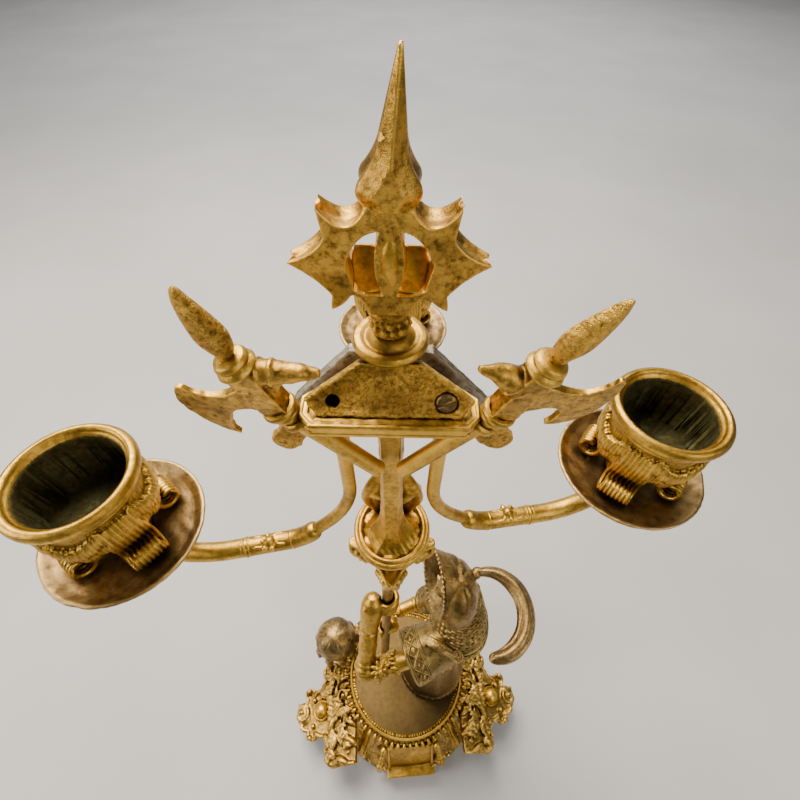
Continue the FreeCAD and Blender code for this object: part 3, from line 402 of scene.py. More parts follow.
def bronze(name, bright, middle, patina, wear_and_highlight=0.5, rough=(0.26, 0.5), grit=0.12, pits=0.0, blotch=70,
           hollow=0.0035, green=0.0, spots=0.85):
    """Old gilded bronze: two gold tones in drifts, dark patina in blotches, hollows darkened as painted shade
    and settled patina, edges brightened as painted highlight and rubbed gilding, and a cast skin."""
    g = Graph(name)
    drift = g.noise(blotch, 5, 0.62, 0.6)
    fine = g.noise(blotch * 9, 7, 0.68)
    grain = g.noise(5200, 4, 0.55)
    tone = g.mix(g.ramp(drift, (0.38, 0.0), (0.62, 1.0)), middle, bright)
    tone = g.mix(g.ramp(fine, (0.45, 0.0), (0.66, spots)), tone, patina)
    # painted shade: ambient occlusion darkens the hollows towards the patina colour, along with patina
    # settled there
    hollow_patina_and_shade = g.node("ShaderNodeAmbientOcclusion", {"Distance": hollow}, samples=8).outputs["AO"]
    tone = g.mix(g.ramp(hollow_patina_and_shade, (0.38, 0.96), (0.88, 0.0)), tone, patina)
    # painted highlight: sharp edges brightened past the bright gold, along with rubbed gilding
    edge = g.node("ShaderNodeNewGeometry").outputs["Pointiness"]
    tone = g.mix(g.ramp(edge, (0.515, 0.0), (0.56, wear_and_highlight)), tone, tuple(min(1.0, c * 1.25) for c in bright))
    if green:
        tone = g.mix(g.ramp(g.noise(160, 6, 0.7), (0.52, 0.0), (0.66, green)), tone, (0.16, 0.17, 0.07))
    g.tree.links.new(tone, g.shader.inputs["Base Color"])
    g.shader.inputs["Metallic"].default_value = 1.0
    g.tree.links.new(g.between(fine, *rough), g.shader.inputs["Roughness"])
    height = g.node("ShaderNodeMath", {0: grain, 1: g.noise(1500, 5, 0.6)}, operation="ADD").outputs[0]
    if pits:
        holes = g.ramp(g.noise(1300, 3, 0.7), (0.36, 0.0), (0.5, 1.0))
        height = g.node("ShaderNodeMath", {0: holes, 1: pits, 2: height}, operation="MULTIPLY_ADD").outputs[0]
    bump = g.node("ShaderNodeBump", {"Height": height, "Distance": 0.00022, "Strength": grit * 3})
    g.tree.links.new(bump.outputs["Normal"], g.shader.inputs["Normal"])
    return g.material


GOLD, DEEP, BROWN = (0.82, 0.49, 0.075), (0.44, 0.245, 0.032), (0.085, 0.045, 0.010)
GILT = bronze("gilt", GOLD, DEEP, BROWN, spots=0.55)
GILT_ROUGH = bronze("gilt_rough_cast", (0.88, 0.52, 0.085), (0.48, 0.265, 0.045), (0.10, 0.056, 0.015),
                    grit=0.3, pits=1.6, rough=(0.34, 0.62), blotch=120)
GILT_DULL = bronze("gilt_dull", (0.58, 0.38, 0.12), (0.36, 0.22, 0.065), (0.09, 0.055, 0.018),
                   rough=(0.28, 0.5))
PATINA = bronze("brown_patina", (0.42, 0.265, 0.08), (0.23, 0.14, 0.04), (0.07, 0.042, 0.014),
                rough=(0.32, 0.55), blotch=45, wear_and_highlight=0.8)
# painted shade: the platform plate made near-black brown so its floor reads dark though the pale surroundings
# light it
DARK = bronze("dark_painted_shade", (0.115, 0.076, 0.027), (0.07, 0.044, 0.016), (0.028, 0.018, 0.007),
              rough=(0.3, 0.48), blotch=40, wear_and_highlight=0.5)
SILVERED = bronze("silvered_wear", (0.50, 0.46, 0.38), (0.34, 0.29, 0.20), (0.14, 0.10, 0.05), grit=0.35,
                  rough=(0.36, 0.6))
STEEL = bronze("old_steel", (0.34, 0.32, 0.29), (0.24, 0.22, 0.19), (0.10, 0.08, 0.06), rough=(0.35, 0.6))
# painted shade: a darker copy of the gilt for faces turned away from the overhead light (finial star, axe
# heads)
GILT_SHADE = bronze("gilt_painted_shade", (0.80, 0.46, 0.075), (0.38, 0.21, 0.035), (0.075, 0.042, 0.012), wear_and_highlight=0.9,
                    rough=(0.3, 0.5), blotch=90)
GILT_SOFT = bronze("gilt_soft", (0.50, 0.33, 0.095), (0.27, 0.175, 0.055), (0.055, 0.035, 0.014),
                   rough=(0.28, 0.48), wear_and_highlight=0.95)
PAN = bronze("pan_brown", (0.42, 0.28, 0.11), (0.24, 0.155, 0.06), (0.085, 0.052, 0.022), rough=(0.3, 0.52),
             blotch=38, wear_and_highlight=0.95, hollow=0.006)
# painted shade: near-black colour for the dark sheet that lines the open screw hole
HOLE_SHADE = bronze("hole_painted_shade", (0.03, 0.022, 0.014), (0.02, 0.015, 0.01), (0.008, 0.006, 0.004), rough=(0.6, 0.8))
# painted light: a brighter copy of the gilt with almost no hollow darkening, so recessed parts read as lit
GILT_PAINTED_LIT = bronze("gilt_painted_lit", (0.9, 0.54, 0.08), (0.52, 0.3, 0.04), BROWN, hollow=0.0006, wear_and_highlight=0.8,
                   spots=0.5)
GILT_DEEP = bronze("gilt_relief", (0.74, 0.46, 0.10), (0.40, 0.24, 0.05), (0.07, 0.04, 0.012), wear_and_highlight=0.8)
PATINA_BRIGHT = bronze("patina_bright_edges", (0.52, 0.36, 0.13), (0.26, 0.165, 0.06), (0.08, 0.05, 0.02),
                       wear_and_highlight=1.0)
DARK_GILT = bronze("gilt_nearly_gone", (0.46, 0.30, 0.10), (0.17, 0.11, 0.05), (0.06, 0.04, 0.018), wear_and_highlight=0.9,
                   blotch=55)
CLOTH_DARK = bronze("cloth_in_shade", (0.36, 0.24, 0.085), (0.21, 0.135, 0.05), (0.06, 0.038, 0.016),
                    rough=(0.3, 0.5))
PLUME = bronze("plume_rubbed", (0.58, 0.38, 0.14), (0.32, 0.2, 0.075), (0.11, 0.066, 0.026), wear_and_highlight=0.8,
               blotch=110)
# the cup's inside: green corrosion in patches, with painted shade from the dark tones and the long hollow
# reach
VERDIGRIS_IN_SHADE = bronze("cup_inside", (0.26, 0.21, 0.075), (0.12, 0.10, 0.042), (0.035, 0.032, 0.014), green=0.55,
                   rough=(0.55, 0.8), hollow=0.02)


def paint_cad():
    """Every carried-over node's finish."""
    steel = {"tie_rod", "tie_rod_nut", "figure_bolt", "finial_stud", "bottom_plate"}
    # the platform plate takes the near-black painted shade; the steel parts take their own colour
    groups = (({"platform_plate"}, DARK), (steel, STEEL))
    for name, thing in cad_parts.items():
        material = next((finish for names, finish in groups if name in names), GILT)
        thing.data.materials.clear()
        thing.data.materials.append(material)
        thing.data.shade_smooth()
        thing.data.set_sharp_from_angle(angle=math.radians(32))


# ---------------------------------------------------------------- candle cups
CUP_MOUTH = 11.5
CUP_FLOOR = 12.6
SOCKET_TOP = 10.7
SPIGOT_WAY = 3.06
CUP_TURN = {"left": -37, "right": -128, "back": -60}


def cup_console(turn, height):
    """A wide ribbed ribbon that runs from under the lip and curls out over the pan, with raised borders."""
    route = smooth_path([(12.6, height - 7.6, 2.8), (13.0, height - 11, 3.4), (12.7, 15.6, 3.9),
                         (11.3, 11.6, 4.2), (9.5, 8.4, 4.4), (8.8, 5.8, 4.5), (9.6, 3.6, 4.5),
                         (11.5, 2.3, 4.4),
                         (13.5, 2.8, 4.2), (14.3, 4.6, 3.9), (13.5, 6.2, 3.5), (12.0, 6.3, 3.0),
                         (11.3, 5.2, 2.5)], 60)
    path = np.array([polar(r, turn, z) for r, z, _ in route])
    across = polar(1, turn + 90)
    shapes = [sweep(path, route[:, 2], 0.85, side=across, columns=22)]
    for way in (-1, 1):
        shapes.append(sweep(path + np.outer(route[:, 2] * 0.93 * way, across), 0.75, columns=10))
    return shapes


def cup_swag(turn, height):
    """Gathered cloth hung between two consoles, with a lappet and beads below its middle."""
    shares = np.linspace(0, 1, 30)
    path = np.array([polar(12.9 + 0.5 * math.sin(math.pi * t), turn + 12 + 66 * t,
                           height - 7.8 - 4.8 * math.sin(math.pi * t)) for t in shares])
    fold = 1.0 + 0.35 * np.sin(np.pi * shares) + 0.12 * np.cos(shares * 44)
    middle = turn + 45
    frame_turn = turned_to(polar(1, middle), (0, 0, 1))
    shapes = [sweep(path, fold * 1.8, fold * 0.85, side=(0, 0, 1), columns=14),
              ball(polar(11.9, middle, height - 15), (4.6, 3.4, 1.5), frame_turn)]
    shapes += [ball(polar(12.5, middle + offset, height - 12.2), (2.4, 1.5, 1.1), frame_turn)
               for offset in (-12, 12)]
    shapes += [ball(polar(10.6 + 0.12 * number, middle - 9 + 4.5 * number, height - 18.6), 0.75)
               for number in range(5)]
    return shapes


def make_cup(side):
    """One candle cup with its ornament."""
    low, high = box_mm("candle_cup_" + side)
    centre = centre_of("candle_cup_" + side)
    height = high[2] - low[2]
    body = lathe([(0, CUP_FLOOR), (CUP_MOUTH - 0.4, CUP_FLOOR), (CUP_MOUTH, CUP_FLOOR + 0.5),
                  (CUP_MOUTH, height - 2.4), (12.0, height - 1.5), (12.3, height - 1.4), (12.7, height - 0.4),
                  (13.4, height), (14.3, height - 0.4), (14.9, height - 1.4), (14.9, height - 2.4),
                  (14.2, height - 3.4), (13.2, height - 4.0), (12.8, height - 4.8), (13.1, height - 5.4),
                  (12.6, height - 6.2), (12.6, height - 9), (12.5, 17.5), (12.4, 12.8), (11.2, 10.9),
                  (8.9, 9.2), (6.9, 6.6), (5.8, 4), (5.5, 2.4), (6.2, 1.2), (6.2, 0), (SPIGOT_WAY, 0),
                  (SPIGOT_WAY, SOCKET_TOP),
                  (0, SOCKET_TOP)], steps=96)
    shapes = [body]
    for quarter in range(4):
        turn = CUP_TURN[side] + 90 * quarter
        shapes += cup_console(turn, height)
        shapes += cup_swag(turn, height)
    shapes = [moved(shape, centre) for shape in shapes]

    def carve(points, normals):
        local, reach, angle = seen_from(points, centre)
        skin = (reach > 10.5) & (local[:, 2] > 11) & (local[:, 2] < height - 6.5)
        off = np.mod(angle - math.radians(CUP_TURN[side]) + math.pi / 4, math.pi / 2) - math.pi / 4
        aside = reach * np.sin(off)
        ribbon = (np.abs(aside) < 4.2) & (local[:, 2] < height - 7) & (reach > CUP_MOUTH * 0.72)
        ribs = 0.2 * np.cos(aside * 2 * math.pi / 1.1) * ribbon
        return np.where(ribbon, ribs, np.where(skin, 0.16 * np.sin(angle * 96), 0.0))

    # faces inside the cup take the corroded colour that also carries the painted shade
    def inside(centres):
        local, reach, _ = seen_from(centres, centre)
        return (reach < CUP_MOUTH + 0.25) & (local[:, 2] > CUP_FLOOR - 0.6)

    return piece(f"cup_{side}", shapes, GILT, [f"candle_cup_{side}"], body=f"cup_{side}", grain=0.34, ease=1,
                 carve=carve,
                 minus=[moved(lathe([(0, CUP_FLOOR), (CUP_MOUTH, CUP_FLOOR), (CUP_MOUTH, height + 4),
                                                  (0, height + 4)], 96), centre)],
                 second=VERDIGRIS_IN_SHADE, inside=inside)


def make_pans():
    """The dished drip pans, hammered a little and thin at the rim."""
    for side in LIGHTS:
        low, high = box_mm("drip_pan_" + side)
        centre = centre_of("drip_pan_" + side, 1)
        radius = (high[0] - low[0]) / 2
        pan = lathe([(3.1, -4.5), (9.4, -4.5), (radius * 0.85, -2.6), (radius - 0.3, -1.1), (radius, -0.5),
                     (radius - 0.1, -0.1), (radius - 0.5, 0), (radius - 1.0, -0.2), (radius * 0.86, -1.3),
                     (radius * 0.66, -2.3), (radius * 0.45, -3.0), (radius * 0.3, -3.25), (3.1, -3.3)], 120)

        def hammered(points, normals):
            x, y = (points - centre)[:, 0], (points - centre)[:, 1]
            return 0.10 * np.sin(x * 0.9 + 1.3 * np.sin(y * 0.5)) * np.sin(y * 0.8 + np.sin(x * 0.4))

        piece(f"pan_{side}", [moved(pan, centre)], PAN, [f"drip_pan_{side}"], grain=0.45, ease=2,
              carve=hammered)


# ---------------------------------------------------------------- arms
ARM_FOOT = {"left": 180, "right": 0, "back": 90}
ARM_TENON = 11.5
ARM_FALL = (13.75, 248.84)
ARM_LEVEL = (22.4, 244.8)


def arm_point(side, out, rise=0.0, across=0.0):
    """A point on an arm's lower run: out from its upright, rise above its centre line, across to its left."""
    foot = polar(ARM_TENON, ARM_FOOT[side])
    way = unit(centre_of("candle_cup_" + side) * vec(1, 1, 0) - foot)
    height = ARM_LEVEL[1] - (out - ARM_LEVEL[0]) * math.tan(math.radians(5))
    if out < ARM_LEVEL[0]:
        share = (out - ARM_FALL[0]) / (ARM_LEVEL[0] - ARM_FALL[0])
        height = ARM_FALL[1] + (ARM_LEVEL[1] - ARM_FALL[1]) * math.sin(max(0, share) * math.pi / 2)
    return foot + way * out + np.cross((0, 0, 1), way) * across + vec(0, 0, height + rise), way


def ring_on(centre, axis, radius, thick, steps=40):
    """A torus-like band round an axis."""
    turn = turned_to(axis, (0, 1, 0.3))
    profile = [(radius + thick * math.cos(a), thick * 1.1 * math.sin(a))
               for a in np.linspace(0, 2 * math.pi, 10)[:-1]]
    return moved(lathe(profile, steps), centre, turn)


def make_arm_trim():
    """The faint rings, engraved leaves and small rose bud on each arm."""
    shapes = []
    for side in LIGHTS:
        for out, radius, thick in ((20.4, 2.92, 0.34), (21.6, 2.9, 0.26), (34.0, 2.92, 0.34),
                                   (35.2, 2.98, 0.42), (36.4, 2.92, 0.3)):
            point, _ = arm_point(side, out)
            ahead, _ = arm_point(side, out + 0.5)
            shapes.append(ring_on(point, ahead - point, radius, thick))
        knob, way = arm_point(side, 27.5, rise=2.7, across=0.6)
        shapes.append(ball(knob, (1.7, 1.7, 1.7)))
        for step in range(6):
            petal = knob + polar(2.1, 60 * step, -0.5)
            shapes.append(ball(petal, (1.35, 0.95, 0.95), spun(60 * step)))
        for out, across, size in ((24.0, 1.7, 1.5), (24.6, -1.7, 1.4), (31.0, 1.7, 1.5), (31.4, -1.6, 1.4)):
            spot, _ = arm_point(side, out, rise=2.1, across=across)
            shapes.append(ball(spot, (size * 1.4, size * 0.45, 0.62), turned_to((0, 0, 1), way)))
    piece("arm_trim", shapes, GILT, ["arm_collars"], grain=0.3, ease=1)


# ---------------------------------------------------------------- finial
FINIAL_STAR = 346.0
FINIAL_LEAN = 1.3


def finial_outlines():
    """The finial's outlines."""
    star = FINIAL_STAR
    top = box_mm("finial")[1][2]
    lug = star + 11.6
    half = [(0.25, top, 0.0), (1.9, star + 15.6, -0.05), (3.9, lug, 0.22), (3.3, star + 8.6, -0.1),
            (5.4, star + 6.2, -0.1), (7.3, star + 6.5, -0.06), (9.6, star + 9.0, 0.0),
            (9.0, star + 4.4, -0.1), (14.8, star + 0.6, -0.06),
            (8.7, star - 5.0, 0.05), (9.0, star - 7.6, 0.1), (5.7, star - 4.7, -0.12), (3.2, star - 8.6, 0.0)]
    outline = arc_outline(mirrored(half), 9)
    lean = FINIAL_LEAN / (top - lug)
    outline[:, 0] += lean * np.maximum(0, outline[:, 1] - lug)
    windows = []
    for sign in (-1, 1):
        window = [(1.3, star + 5.6, 0.1), (4.3, star + 4.2, 0.05), (5.6, star + 2.2, 0.0),
                  (6.4, star + 0.4, 0.0), (5.4, star - 3.8, 0.12), (1.0, star - 4.7, -0.1)]
        windows.append(arc_outline([(sign * x, z, sign * bulge) for x, z, bulge in window]))
    return outline, windows


def make_finial():
    """The star finial: thick at its middle, thin at its points, its spire ridged and its star hollowed."""
    outline, windows = finial_outlines()
    low, high = box_mm("finial")
    thick = high[1] - low[1]
    star = FINIAL_STAR
    shapes = [slab(outline, thick)]
    holes = [slab(window, thick * 2) for window in windows]
    edges = [outline, *windows]

    def shift(points):
        """Thin the plate towards its points and its spire, from the back, and slope its edges."""
        flat = points[:, [0, 2]]
        away = np.min([edge_distance(flat, edge) for edge in edges], axis=0)
        reach = np.hypot(points[:, 0] * 0.9, points[:, 2] - star)
        point_share = np.clip((reach - 6) / 9, 0, 1)
        spire = np.clip((points[:, 2] - star - 8) / 17, 0, 1)
        above = (points[:, 2] > star + 8.4) & (np.abs(points[:, 0]) < 4.8)
        deep = np.where(above, 1.25 - 1.0 * spire, 1.15 - 0.75 * point_share)
        ridge = np.where(above, np.clip(away / 2.2, 0, 1), 0)
        back = (points[:, 1] + thick / 2) / thick
        made = points.copy()
        made[:, 1] = (-thick / 2 - 0.9 * ridge * (1 - back) + back * deep * thick
                      + 0.7 * above * (1 - ridge) * (1 - back))
        return made

    def carve(points, normals):
        walls = np.abs(normals[:, 1]) < 0.5
        return np.where(walls, -0.5 * np.exp(-(points[:, 1] / 1.3) ** 2), 0.0)

    piece("finial_star", shapes, GILT_SHADE, ["finial"], grain=0.25, ease=1, minus=holes, carve=carve,
          shift=shift)

    leaf = smooth_path([(0.5, -2.0, star + 6.6, 0.2), (0.2, -2.6, star + 3.6, 1.1),
                        (0.0, -2.8, star + 0.6, 1.35), (0.4, -2.6, star - 2.4, 0.9),
                        (0.4, -2.3, star - 5.2, 0.4)], 30)
    second = smooth_path([(0.6, -1.6, star + 5.6, 0.2), (1.5, -1.8, star + 3.0, 0.7), (1.7, -1.8, star, 0.8),
                          (1.2, -1.8, star - 3, 0.6), (0.5, -1.6, star - 5, 0.3)], 30)
    third = second * vec(-1, 1, 1, 1) + vec(0.6, 0, 0, 0)
    body = [sweep(path[:, :3], path[:, 3], path[:, 3] * 0.8, side=(1, 0, 0), columns=14)
            for path in (leaf, second, third)]
    for way in (-1, 1):
        scoop = smooth_path([(way * 3.2, -2.3, star - 5.0, 2.2), (way * 3.4, -0.6, star - 4.0, 2.7),
                             (way * 3.6, 1.0, star - 2.2, 2.6), (way * 3.6, 2.2, star + 0.6, 1.9)], 24)
        body.append(sweep(scoop[:, :3], scoop[:, 3], 0.55, side=(1, 0, 0), columns=16))
    # the leaf and scoops in the star's windows take the brighter painted-light gilt
    piece("finial_leaf", body, GILT_PAINTED_LIT, grain=0.25, ease=2)

    dish = box_mm("finial_dish")[1][2]
    bell = [(3.3, 2.9, dish - 0.2), (3.1, 2.8, dish + 1.4), (2.6, 2.5, dish + 2.6), (2.9, 2.4, dish + 3.8),
            (4.0, 2.3, dish + 5.6), (5.4, 2.2, dish + 7.4), (6.0, 2.0, dish + 8.8)]
    line = smooth_path(bell, 26)
    angles = circle(28)
    rings = [ellipse(angles, a, b, z) for a, b, z in line]
    shapes = [capped(rings)]
    for count, radius, height, size in ((13, 3.2, dish + 1.5, 0.62), (12, 2.9, dish + 2.8, 0.5)):
        shapes += [ball(polar(radius, 360 / count * i, height), size * (1 + 0.25 * math.sin(i * 2.3)))
                   for i in range(count)]
    piece("finial_collar", shapes, GILT_ROUGH, grain=0.25, ease=1)


def make_dish():
    """The saucer under the finial: a fat outer roll and a raised inner ring."""
    low, high = box_mm("finial_dish")
    centre = centre_of("finial_dish")
    radius = (high[0] - low[0]) / 2
    deep = high[2] - low[2]
    shape = lathe([(1.55, 0.2), (radius - 1.6, 0.15), (radius - 0.4, 0.7), (radius, 1.5), (radius - 0.5, 2.3),
                   (radius - 1.5, 2.5), (radius - 2.4, 2.1), (radius - 2.8, 2.4), (radius - 3.3, 2.9),
                   (radius - 3.9, deep - 0.5), (1.55, deep)], 72)
    piece("finial_saucer", [moved(shape, centre)], GILT, ["finial_dish"], bevel=0.2)


# ---------------------------------------------------------------- halberds
HALBERD_FOOT = (3, -4.6, 292.5)
HALBERD_HEAD = (25.4, -10, 330)
SOCKET_AT = 33
HEAD_LEAN = {"left": 72, "right": 71}
HEAD_COLLAR = {"left": 12.6, "right": 13.4}
SPEAR_BEND = {"left": 8, "right": -5.5}
BLADES = {
    "left": [(1.4, 1.2, 0.0), (3.4, 1.3, 0.22), (9.6, 0.4, 0.1), (11.9, -6.2, -0.1), (15.9, 2.6, -0.14),
             (13.4, 11, 0.0), (12.4, 10.6, 0.24), (4.6, 7.4, 0.1), (1.4, 9.6, 0.0)],
    "right": [(1.4, 1.2, 0.0), (6, 4.8, 0.15), (9.6, 4.4, 0.1), (9.4, -0.4, -0.1), (14.4, 3.4, -0.12),
              (13.9, 15.5, 0.0), (12.9, 15.6, 0.24), (6.2, 10.1, 0.0), (1.4, 10.6, 0.0)],
}


def head_frame(side):
    """A halberd head's origin and its frame: X outward, Z along it."""
    sign = SIDES[side]
    foot, head = (np.array(point) * vec(sign, 1, 1) for point in (HALBERD_FOOT, HALBERD_HEAD))
    shaft = unit(head - foot)
    lean = math.radians(HEAD_LEAN[side])
    along = unit(vec(sign * math.cos(lean), -0.12, math.sin(lean)))
    return foot + shaft * SOCKET_AT, turned_to(along, (sign, 0, 0)), shaft


def make_halberd(side):
    """One halberd's head."""
    origin, turn, shaft = head_frame(side)
    collar = HEAD_COLLAR[side]
    blade_outline = arc_outline(BLADES[side], 8)
    thick = 2.3
    blade = slab(blade_outline, thick)
    block = slab([(-2.2, 0), (2.2, 0), (2.2, collar), (-2.2, collar)], 4.4)
    if side == "left":
        beak = smooth_path([(-1.6, 0, 10.6, 2.4), (-3.4, 0, 10.2, 2.2), (-6, 0, 9.3, 1.9), (-9, 0, 8.3, 1.5),
                            (-11.8, 0, 7.5, 0.7)], 44)
    else:
        beak = smooth_path([(-0.6, 0, 8.2, 2.2), (-2.2, 0, 8.8, 2.3), (-4.2, 0, 9.8, 2.3),
                            (-6.6, 0, 10.2, 1.6), (-9.7, 0, 10.2, 0.5)], 44)
    bands = sum(np.exp(-((np.linspace(0, 1, 44) - at) / 0.03) ** 2) for at in (0.14, 0.36))
    beak_bar = sweep(beak[:, :3], beak[:, 3] + 0.45 * bands, side=(0, 1, 0), columns=18)
    hook = [(-1.6, 1.6, 0.0), (-1.6, 9.6, 0.0), (-8.0, 8.0, 0.2)] if side == "left" else [
        (-1.6, 3.0, 0.0), (-1.6, 9.2, 0.0), (-6.0, 9.6, 0.2)]
    web = slab(arc_outline(hook), 2.0)
    axe = [moved(shape, origin, turn) for shape in (blade, block, beak_bar, web)]
    edge_at = blade_outline[:, 0].max()

    def sharpen(points):
        """Thin the blade towards its cutting edge, which is away from the block."""
        local = (points - origin) @ turn
        out = np.clip((local[:, 0] - 2.6) / (edge_at - 2.6), 0, 1)
        local[:, 1] *= 1 - 0.72 * out
        return local @ turn.T + origin

    def worn(points, normals):
        local = (points - origin) @ turn
        return 0.1 * np.sin(local[:, 0] * 1.7 + 1.1 * np.sin(local[:, 2] * 0.9)) * np.sin(local[:, 2] * 1.9)

    piece(f"axe_{side}", axe, GILT_SHADE, [f"axe_head_{side}"], grain=0.26, ease=1, carve=worn, shift=sharpen)

    rim = [(0, collar - 0.4), (3.1, collar - 0.4), (3.45, collar + 0.3), (3.1, collar + 0.9),
           (2.7, collar + 1.2), (3.0, collar + 1.8), (2.6, collar + 2.5), (1.8, collar + 2.8),
           (0, collar + 2.8)]
    foot_ring = [(2.4, -1.0), (3.2, -0.7), (3.4, 0), (3.1, 0.6), (2.4, 0.8)]
    shapes = [moved(lathe(profile, 40), origin, turn) for profile in (rim, foot_ring)]
    shapes += [ring_on(origin - shaft * back, shaft, 2.1, 0.75) for back in (1.8, 4.4)]
    piece(f"halberd_rings_{side}", shapes, GILT, bevel=0.1)

    bend = math.radians(SPEAR_BEND[side])
    lean = np.array([[math.cos(bend), 0, -math.sin(bend)], [0, 1, 0], [math.sin(bend), 0, math.cos(bend)]])
    line = smooth_path([(0, 0, 0, 1.5, 1.4), (0, 0, 0.9, 1.4, 1.3), (-0.2, 0, 2.6, 2.1, 1.7),
                        (-0.1, 0, 5.4, 2.75, 1.9), (0.1, 0, 9.2, 2.2, 1.5), (0.2, 0, 12.4, 1.4, 1.0),
                        (0.2, 0, 14.4, 0.5, 0.4)], 46)
    leaf = sweep(line[:, :3], line[:, 3], line[:, 4], side=(1, 0, 0), columns=24)
    at_collar = origin + turn @ vec(0, 0, collar + 2.3)
    leaf = moved(leaf, at_collar, turn @ lean)

    def ridge(points, normals):
        local = (points - at_collar) @ (turn @ lean)
        front = normals @ turn[:, 1] < 0
        return 0.3 * np.exp(-(local[:, 0] / 0.5) ** 2) * (local[:, 2] > 1.5) * front - 0.12

    piece(f"spear_blade_{side}", [leaf], GILT_ROUGH, [f"spear_{side}"], grain=0.25, ease=1, carve=ridge)


# ---------------------------------------------------------------- cover panel and shield
PANEL_LEAN = math.radians(60)
PANEL_FOOT = (-8.2, 318.6)
PANEL_THICK = 2.2
SCREW_AT = (10.2, 3.0)
TRAY_FRONT, TRAY_HALF = -12.0, 15.6
PANEL_TURN = np.array([[1, 0, 0], [0, math.cos(PANEL_LEAN), -math.sin(PANEL_LEAN)],
                       [0, math.sin(PANEL_LEAN), math.cos(PANEL_LEAN)]])


def on_panel(x, up, out=0.0):
    """A point of the cover panel: across it, up its slope, out from its back face."""
    return PANEL_TURN @ vec(x, up, out) + vec(0, *PANEL_FOOT)


def make_cover():
    """The tray's cover panel, with its two screw holes."""
    outline = arc_outline([(-12.8, 0.2, 0.0), (12.8, 0.2, -0.05), (15.2, 3.6, 0.0), (5.6, 10.4, 0.0),
                           (-5.6, 10.4, 0.0), (-15.2, 3.6, -0.05)], 6)
    plate = slab(outline, PANEL_THICK)
    points, faces = plate
    plate = (np.column_stack([points[:, 0], points[:, 2], PANEL_THICK / 2 - points[:, 1]]), faces)
    plate = moved(plate, (0, *PANEL_FOOT), PANEL_TURN)
    drills = []
    for x, profile in ((-SCREW_AT[0], [(0, -2), (1.3, -2), (1.3, 6), (0, 6)]),
                       (SCREW_AT[0], [(0, -2), (1.2, -2), (1.2, 1.4), (2.08, 1.4), (2.2, 6), (0, 6)])):
        drills.append(moved(lathe(profile, 32), on_panel(x, SCREW_AT[1]), PANEL_TURN))

    def cast(points, normals):
        local = (points - vec(0, *PANEL_FOOT)) @ PANEL_TURN
        x, up = local[:, 0], local[:, 1]
        away = edge_distance(local[:, :2], outline)
        front = (local[:, 2] > PANEL_THICK - 0.5)
        lumps = 0.16 * np.sin(x * 1.1 + np.sin(up * 1.3)) * np.sin(up * 1.4 + 0.8 * np.sin(x * 0.7))
        pits = 0.09 * np.sin(x * 4.3 + 2 * np.sin(up * 3.1)) * np.sin(up * 5.2 + 1.4 * np.sin(x * 2.9))
        border = 0.42 * np.exp(-((away - 0.5) / 0.55) ** 2)
        hollow = -0.8 * np.exp(-(x / 6.5) ** 2 - ((up - 10.5) / 2.4) ** 2)
        return (lumps + pits + border + hollow) * front - 0.05

    piece("cover_plate", [plate], GILT_ROUGH, ["cover_panel"], grain=0.3, ease=1, minus=drills, carve=cast)

    # painted shade: a dark sheet inside the open screw hole makes it read as shade
    shade_sheet = lathe([(0, 0.2), (1.5, 0.2), (1.5, 1.4), (1.28, 1.4), (1.28, 0.5), (0, 0.4)], 32)
    piece("hole_shade_sheet", [moved(shade_sheet, on_panel(-SCREW_AT[0], SCREW_AT[1]), PANEL_TURN)], HOLE_SHADE)
    head = lathe([(0, -2.4), (1.1, -2.4), (1.1, 0), (2.0, 0), (2.05, 0.35), (1.75, 0.8), (1.2, 0.95),
                  (0, 0.8)], 40)
    slot = slab([(-2.4, 0.35), (2.4, 0.35), (2.4, 3), (-2.4, 3)], 0.6)
    seat = on_panel(*SCREW_AT, 1.4)
    turn = PANEL_TURN @ np.array([[0.94, -0.34, 0], [0.34, 0.94, 0], [0, 0, 1]])
    piece("screw_worn", [moved(head, seat, turn)], DARK_GILT, ["panel_screw"], grain=0.18, ease=1,
          minus=[moved(slot, seat, turn)])

    z_top, z_low = box_mm("tray")[1][2], box_mm("tray")[0][2]
    rim = [(-TRAY_HALF - 0.6, TRAY_FRONT + 6.4), (-TRAY_HALF - 0.6, TRAY_FRONT + 2.8),
           (-TRAY_HALF + 1.6, TRAY_FRONT + 0.3),
           (TRAY_HALF - 1.6, TRAY_FRONT + 0.3), (TRAY_HALF + 0.6, TRAY_FRONT + 2.8),
           (TRAY_HALF + 0.6, TRAY_FRONT + 6.4)]
    shapes = []
    for height, thick in ((z_top - 0.35, 0.6), (z_low + 0.7, 0.45)):
        for start, end in zip(rim, rim[1:]):
            run = [between_points(vec(*start, height), vec(*end, height), t)
                   for t in np.linspace(-0.02, 1.02, 16)]
            shapes.append(sweep(run, thick + 0.05 * np.sin(np.arange(16) * 2.1), thick, columns=12))
    seam = np.array([(x, TRAY_FRONT + 1.65, z_top - 0.5) for x in np.linspace(-13.6, 13.6, 30)])
    shapes.append(sweep(seam, 1.15, 0.85 + 0.06 * np.sin(np.arange(30) * 1.7), side=(0, 1, 0), columns=12))
    piece("tray_moulding", shapes, GILT, grain=0.28, ease=1)


